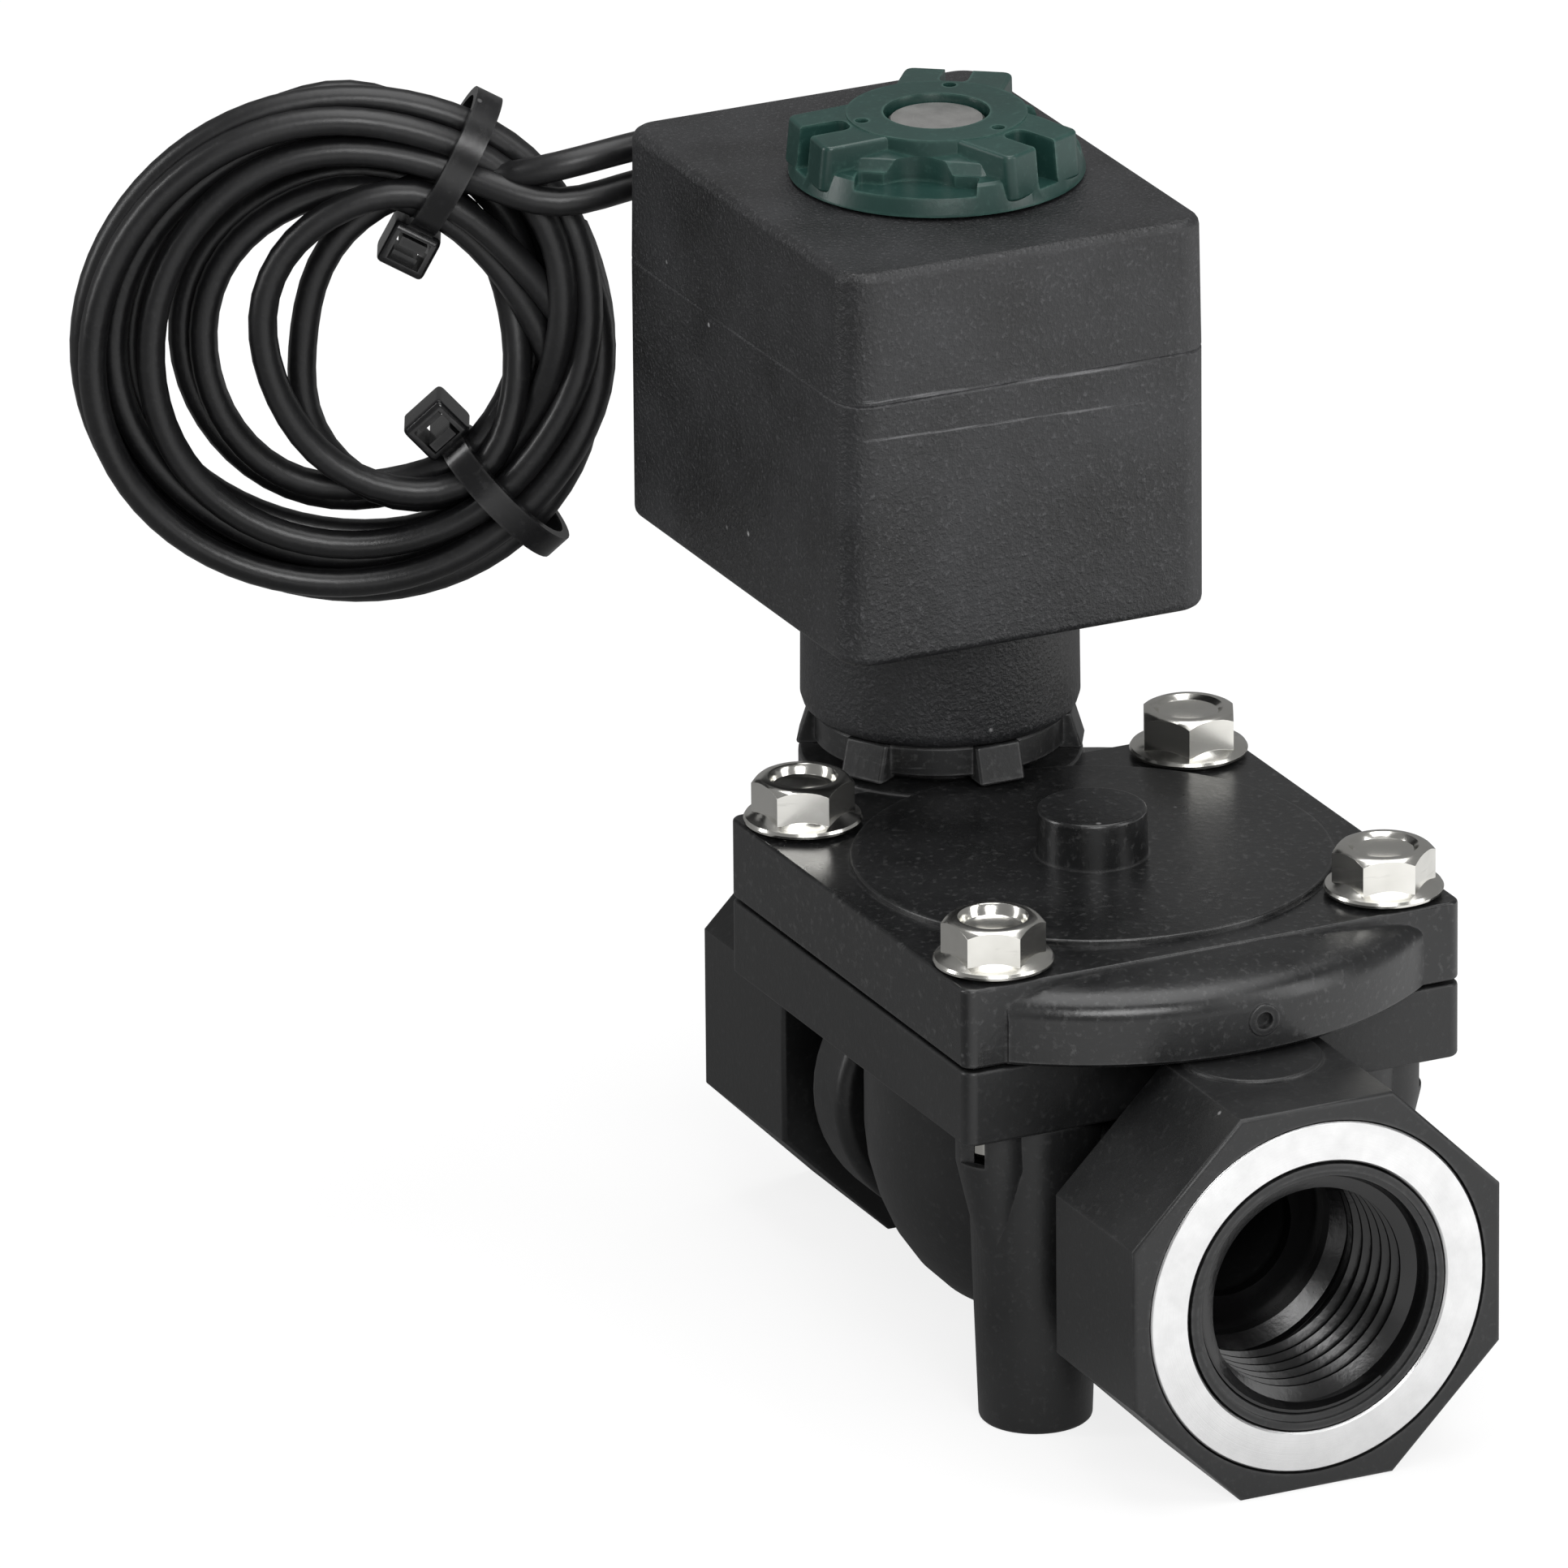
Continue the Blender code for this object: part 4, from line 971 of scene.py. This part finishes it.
skirt = put(lathe([
    (0, NECK_Z), (11.3, NECK_Z), (11.9, NECK_Z + 0.22), (12.35, NECK_Z + 0.7), (NECK_R, NECK_Z + 1.5),
    (NECK_R - 0.06, 56), (NECK_R - 0.12, 60.6), (NECK_R + 0.1, 61.5), (NECK_R + 0.6, 62.2), (NECK_R + 0.6, 66), (0, 66),
], 128), (TUBE_X, 0, 0))
housing = carve(
    "coil_moulding", coil_block(), joined=[skirt],
    removed=[
        put(drum(10.4, 40, 61, 64), (TUBE_X, 0, 0)),
        put(drum(COIL_BORE_R, 50, 110, 64), (TUBE_X, 0, 0)),
        put(slab((-16.6, -13.2, 65.5), (16.6, 13.2, 95.5)), (TUBE_X, 0, 0)),
        slab((COIL_X[0] - 1, GROMMET_Y - 3.3, 86.1), (COIL_X[0] + 4.3, GROMMET_Y + 3.3, 96.3), 0.0),
    ],
)
# the pale edge mask on this block is partly wear and partly a painted highlight along its rounded corners
housing_material = plastic("coil_epoxy", (0.0095, 0.0098, 0.0107), (0.10, 0.10, 0.105), 0.44, 2600.0, 0.00016,
                           edge=0.42, dust=0.6, mottle=0.42, rough_swing=0.06)
# scraped flash along the seam, and the pale graze just under it
tree = housing_material.node_tree
shader = tree.nodes["Principled BSDF"]
place = node(tree, "TexCoord").outputs["Object"]
axes = node(tree, "SeparateXYZ")
tree.links.new(place, axes.inputs[0])
streaks = node(tree, "TexNoise", Scale=1.0, Detail=4.0, Roughness=0.7)
stretched = node(tree, "Mapping")
stretched.inputs["Scale"].default_value = (200.0, 200.0, 5000.0)
tree.links.new(place, stretched.inputs["Vector"])
tree.links.new(stretched.outputs[0], streaks.inputs["Vector"])
slope = maths(tree, "MULTIPLY", axes.outputs["Y"], 0.03)
level = maths(tree, "ADD", axes.outputs["Z"], slope)
grazes = 0.0
for height, width, strength in ((SEAM_Z * MM, 0.00022, 0.75), ((SEAM_Z - 3.6) * MM, 0.00016, 0.6)):
    off = maths(tree, "ABSOLUTE", maths(tree, "SUBTRACT", level, height), 0.0)
    band = maths(tree, "MULTIPLY", ramp(tree, off, width * 0.4, width, strength, 0.0),
                 ramp(tree, streaks.outputs[0], 0.42, 0.6))
    grazes = maths(tree, "ADD", grazes, band, clamp=True)
front = ramp(tree, axes.outputs["X"], (COIL_X[1] - 0.4) * MM, (COIL_X[1] - 0.2) * MM)
inboard = ramp(tree, axes.outputs["Y"], 0.006, 0.010, 1.0, 0.0)
grazed = maths(tree, "MULTIPLY", maths(tree, "MULTIPLY", grazes, front), inboard)
old_colour = shader.inputs["Base Color"].links[0].from_socket
tree.links.new(mix(tree, grazed, old_colour, (0.16, 0.16, 0.165)), shader.inputs["Base Color"])
keep(housing, "coil", housing_material, "coil_black", "coil_housing")


# Lead grommet: a rubber block potted into the back of the housing, with a short sleeve
# round each lead so that it doesn't kink where it comes out.
grommet = carve(
    "lead_seal",
    slab((COIL_BACK - 1.6, GROMMET_Y - 3.0, 86.4), (COIL_BACK + 4.0, GROMMET_Y + 3.0, 96.0), 0.6, 0.4, 4),
    joined=[put(drum(2.0, COIL_BACK - 2.1, COIL_BACK, 40, rounding=0.25), (0, GROMMET_Y, rise), along="X")
            for rise in LEAD_RISE],
)
grommet_material = plastic("seal_rubber", (0.010, 0.010, 0.010), (0.05, 0.05, 0.05), 0.6, 1600.0, 0.00002, dust=0.6)
keep(grommet, "coil", grommet_material, "rubber", "lead_grommet")


# Retaining cap: a green glass-filled nylon nut that snaps over the core and holds the coil
# down. Three slotted spring arms grip the core's groove, and three pockets between them
# take a fingernail or a blade to turn it.
CAP_Z = COIL_Z[1] + 0.3
ARM_TURNS = [math.radians(24.5 + 120 * k) for k in range(3)]
POCKET_TURNS = [math.radians(84.5 + 120 * k) for k in range(3)]
cap_shapes, cap_cuts = [], []
for turn in ARM_TURNS:
    arm = slab((5.2, -4.9, 0.8), (12.8, 4.9, 5.4), 0.9, 0.35, 4)
    drooping = [v for v in arm.verts if v.co.z > 3.0 and v.co.x > 9.0]
    bmesh.ops.translate(arm, verts=drooping, vec=(-0.35, 0, -0.35))
    cap_shapes.append(put(arm, (TUBE_X, 0, CAP_Z), turn))
    slot = slab((8.4, -1.3, 1.2), (14.6, 1.3, 8.0), 0.9)
    cap_cuts.append(put(slot, (TUBE_X, 0, CAP_Z), turn))
    cap_cuts.append(put(drum(0.6, 4.4, 7.0, 24), (TUBE_X + 7.1 * math.cos(turn), 7.1 * math.sin(turn), CAP_Z)))
for turn in POCKET_TURNS:
    shoulder = slab((4.0, -6.6, 0.8), (10.2, 6.6, 5.15), 1.2, 0.35, 5)
    sloping = [v for v in shoulder.verts if v.co.z > 3.0 and v.co.x > 7.4]
    bmesh.ops.translate(shoulder, verts=sloping, vec=(-1.3, 0, -1.35))
    cap_shapes.append(put(shoulder, (TUBE_X, 0, CAP_Z), turn))
    cap_cuts.append(put(drum(4.2, 1.65, 7.0, 64), (
        TUBE_X + 12.3 * math.cos(turn), 12.3 * math.sin(turn), CAP_Z)))
    cap_cuts.append(put(slab((9.6, -5.5, 1.65), (14.5, 5.5, 6.0), 0.5), (TUBE_X, 0, CAP_Z), turn))
cap = carve(
    "coil_cap",
    put(lathe([(0, 0), (13.25, 0), (13.25, 0.25), (12.6, 2.45), (12.3, 2.7), (11.2, 2.75), (0, 2.75)], 128),
        (TUBE_X, 0, CAP_Z)),
    joined=[*cap_shapes, put(drum(8.1, 1.0, 5.4, 96), (TUBE_X, 0, CAP_Z))],
    removed=[*cap_cuts, put(drum(4.75, -1, 8, 64), (TUBE_X, 0, CAP_Z))],
    rounding=0.22, steps=3,
)
cap_material = plastic("green_nylon", (0.0085, 0.036, 0.030), (0.10, 0.20, 0.17), 0.36, 1500.0, 0.000015,
                       edge=0.45, dust=0.5, mottle=0.12, rough_swing=0.08, scuffs=0.08)
keep(cap, "cap", cap_material, "green_nylon", "retaining_cap")


# Fixed core: the stainless end of the pilot's tube shows inside the cap, faced off flat.
core_material = turned_metal("faced_stainless", (0.56, 0.555, 0.54), 0.42, (TUBE_X, 0, 0), "Z", 7000.0, 0.00001)
core = shape_object("core_end", put(lathe([
    (0, 64.0), (2.9, 64.0), (2.9, 65.3), (4.2, 65.3), (4.2, 64.0), (4.5, 64.0), (4.5, 84.3), (5.4, 84.3), (5.4, 98.7),
    (4.35, 98.7), (4.35, 103.65), (4.1, 103.9), (0, 103.9),
], 96), (TUBE_X, 0, 0)))
keep(core, "valve", core_material, "stainless", "fixed_core")


# Inside the valve: the core tube, plunger, springs, seats, diaphragm and the coil's own
# winding stay as made. They get their own finishes, since they show in other views.
steel_bright = turned_metal("machined_steel", (0.56, 0.56, 0.55), 0.28, (TUBE_X, 0, 0), "Z", 4000.0, 0.00001)
steel_centre = turned_metal("pressed_steel", (0.54, 0.54, 0.53), 0.30, (VALVE_X, 0, 0), "Z", 4000.0, 0.00001)
yellow_brass = turned_metal("drawn_brass", (0.72, 0.53, 0.25), 0.28, (VALVE_X, 0, 0), "Z", 4000.0, 0.00001)
red_copper = turned_metal("enamelled_copper", (0.70, 0.30, 0.14), 0.33, (TUBE_X, 0, 0), "Z", 3000.0, 0.00003)
moulded_rubber = plastic("moulded_rubber", (0.012, 0.012, 0.012), (0.05, 0.05, 0.05), 0.62, 1600.0, 0.00002)
cream_nylon = plastic("cream_nylon", (0.60, 0.55, 0.42), (0.75, 0.70, 0.58), 0.45, 1500.0, 0.00002, dust=0.2)
inside = {
    steel_bright: ("core_tube", "plunger", "plunger_spring", "coil_yoke"),
    steel_centre: ("main_spring", "disc_holder", "diaphragm_nut", "diaphragm_screw"),
    yellow_brass: ("pilot_seat", "cover_insert_1", "cover_insert_2", "cover_insert_3", "cover_insert_4",
                   "mount_insert_1", "mount_insert_2"),
    red_copper: ("coil_winding", "shading_ring"),
    moulded_rubber: ("diaphragm", "seat_disc", "plunger_seal", "tube_o_ring"),
    body_material: ("diaphragm_support",),
    cream_nylon: ("coil_bobbin",),
}
for material, names in inside.items():
    for name in names:
        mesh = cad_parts[name].data
        mesh.materials.clear()
        mesh.materials.append(material)
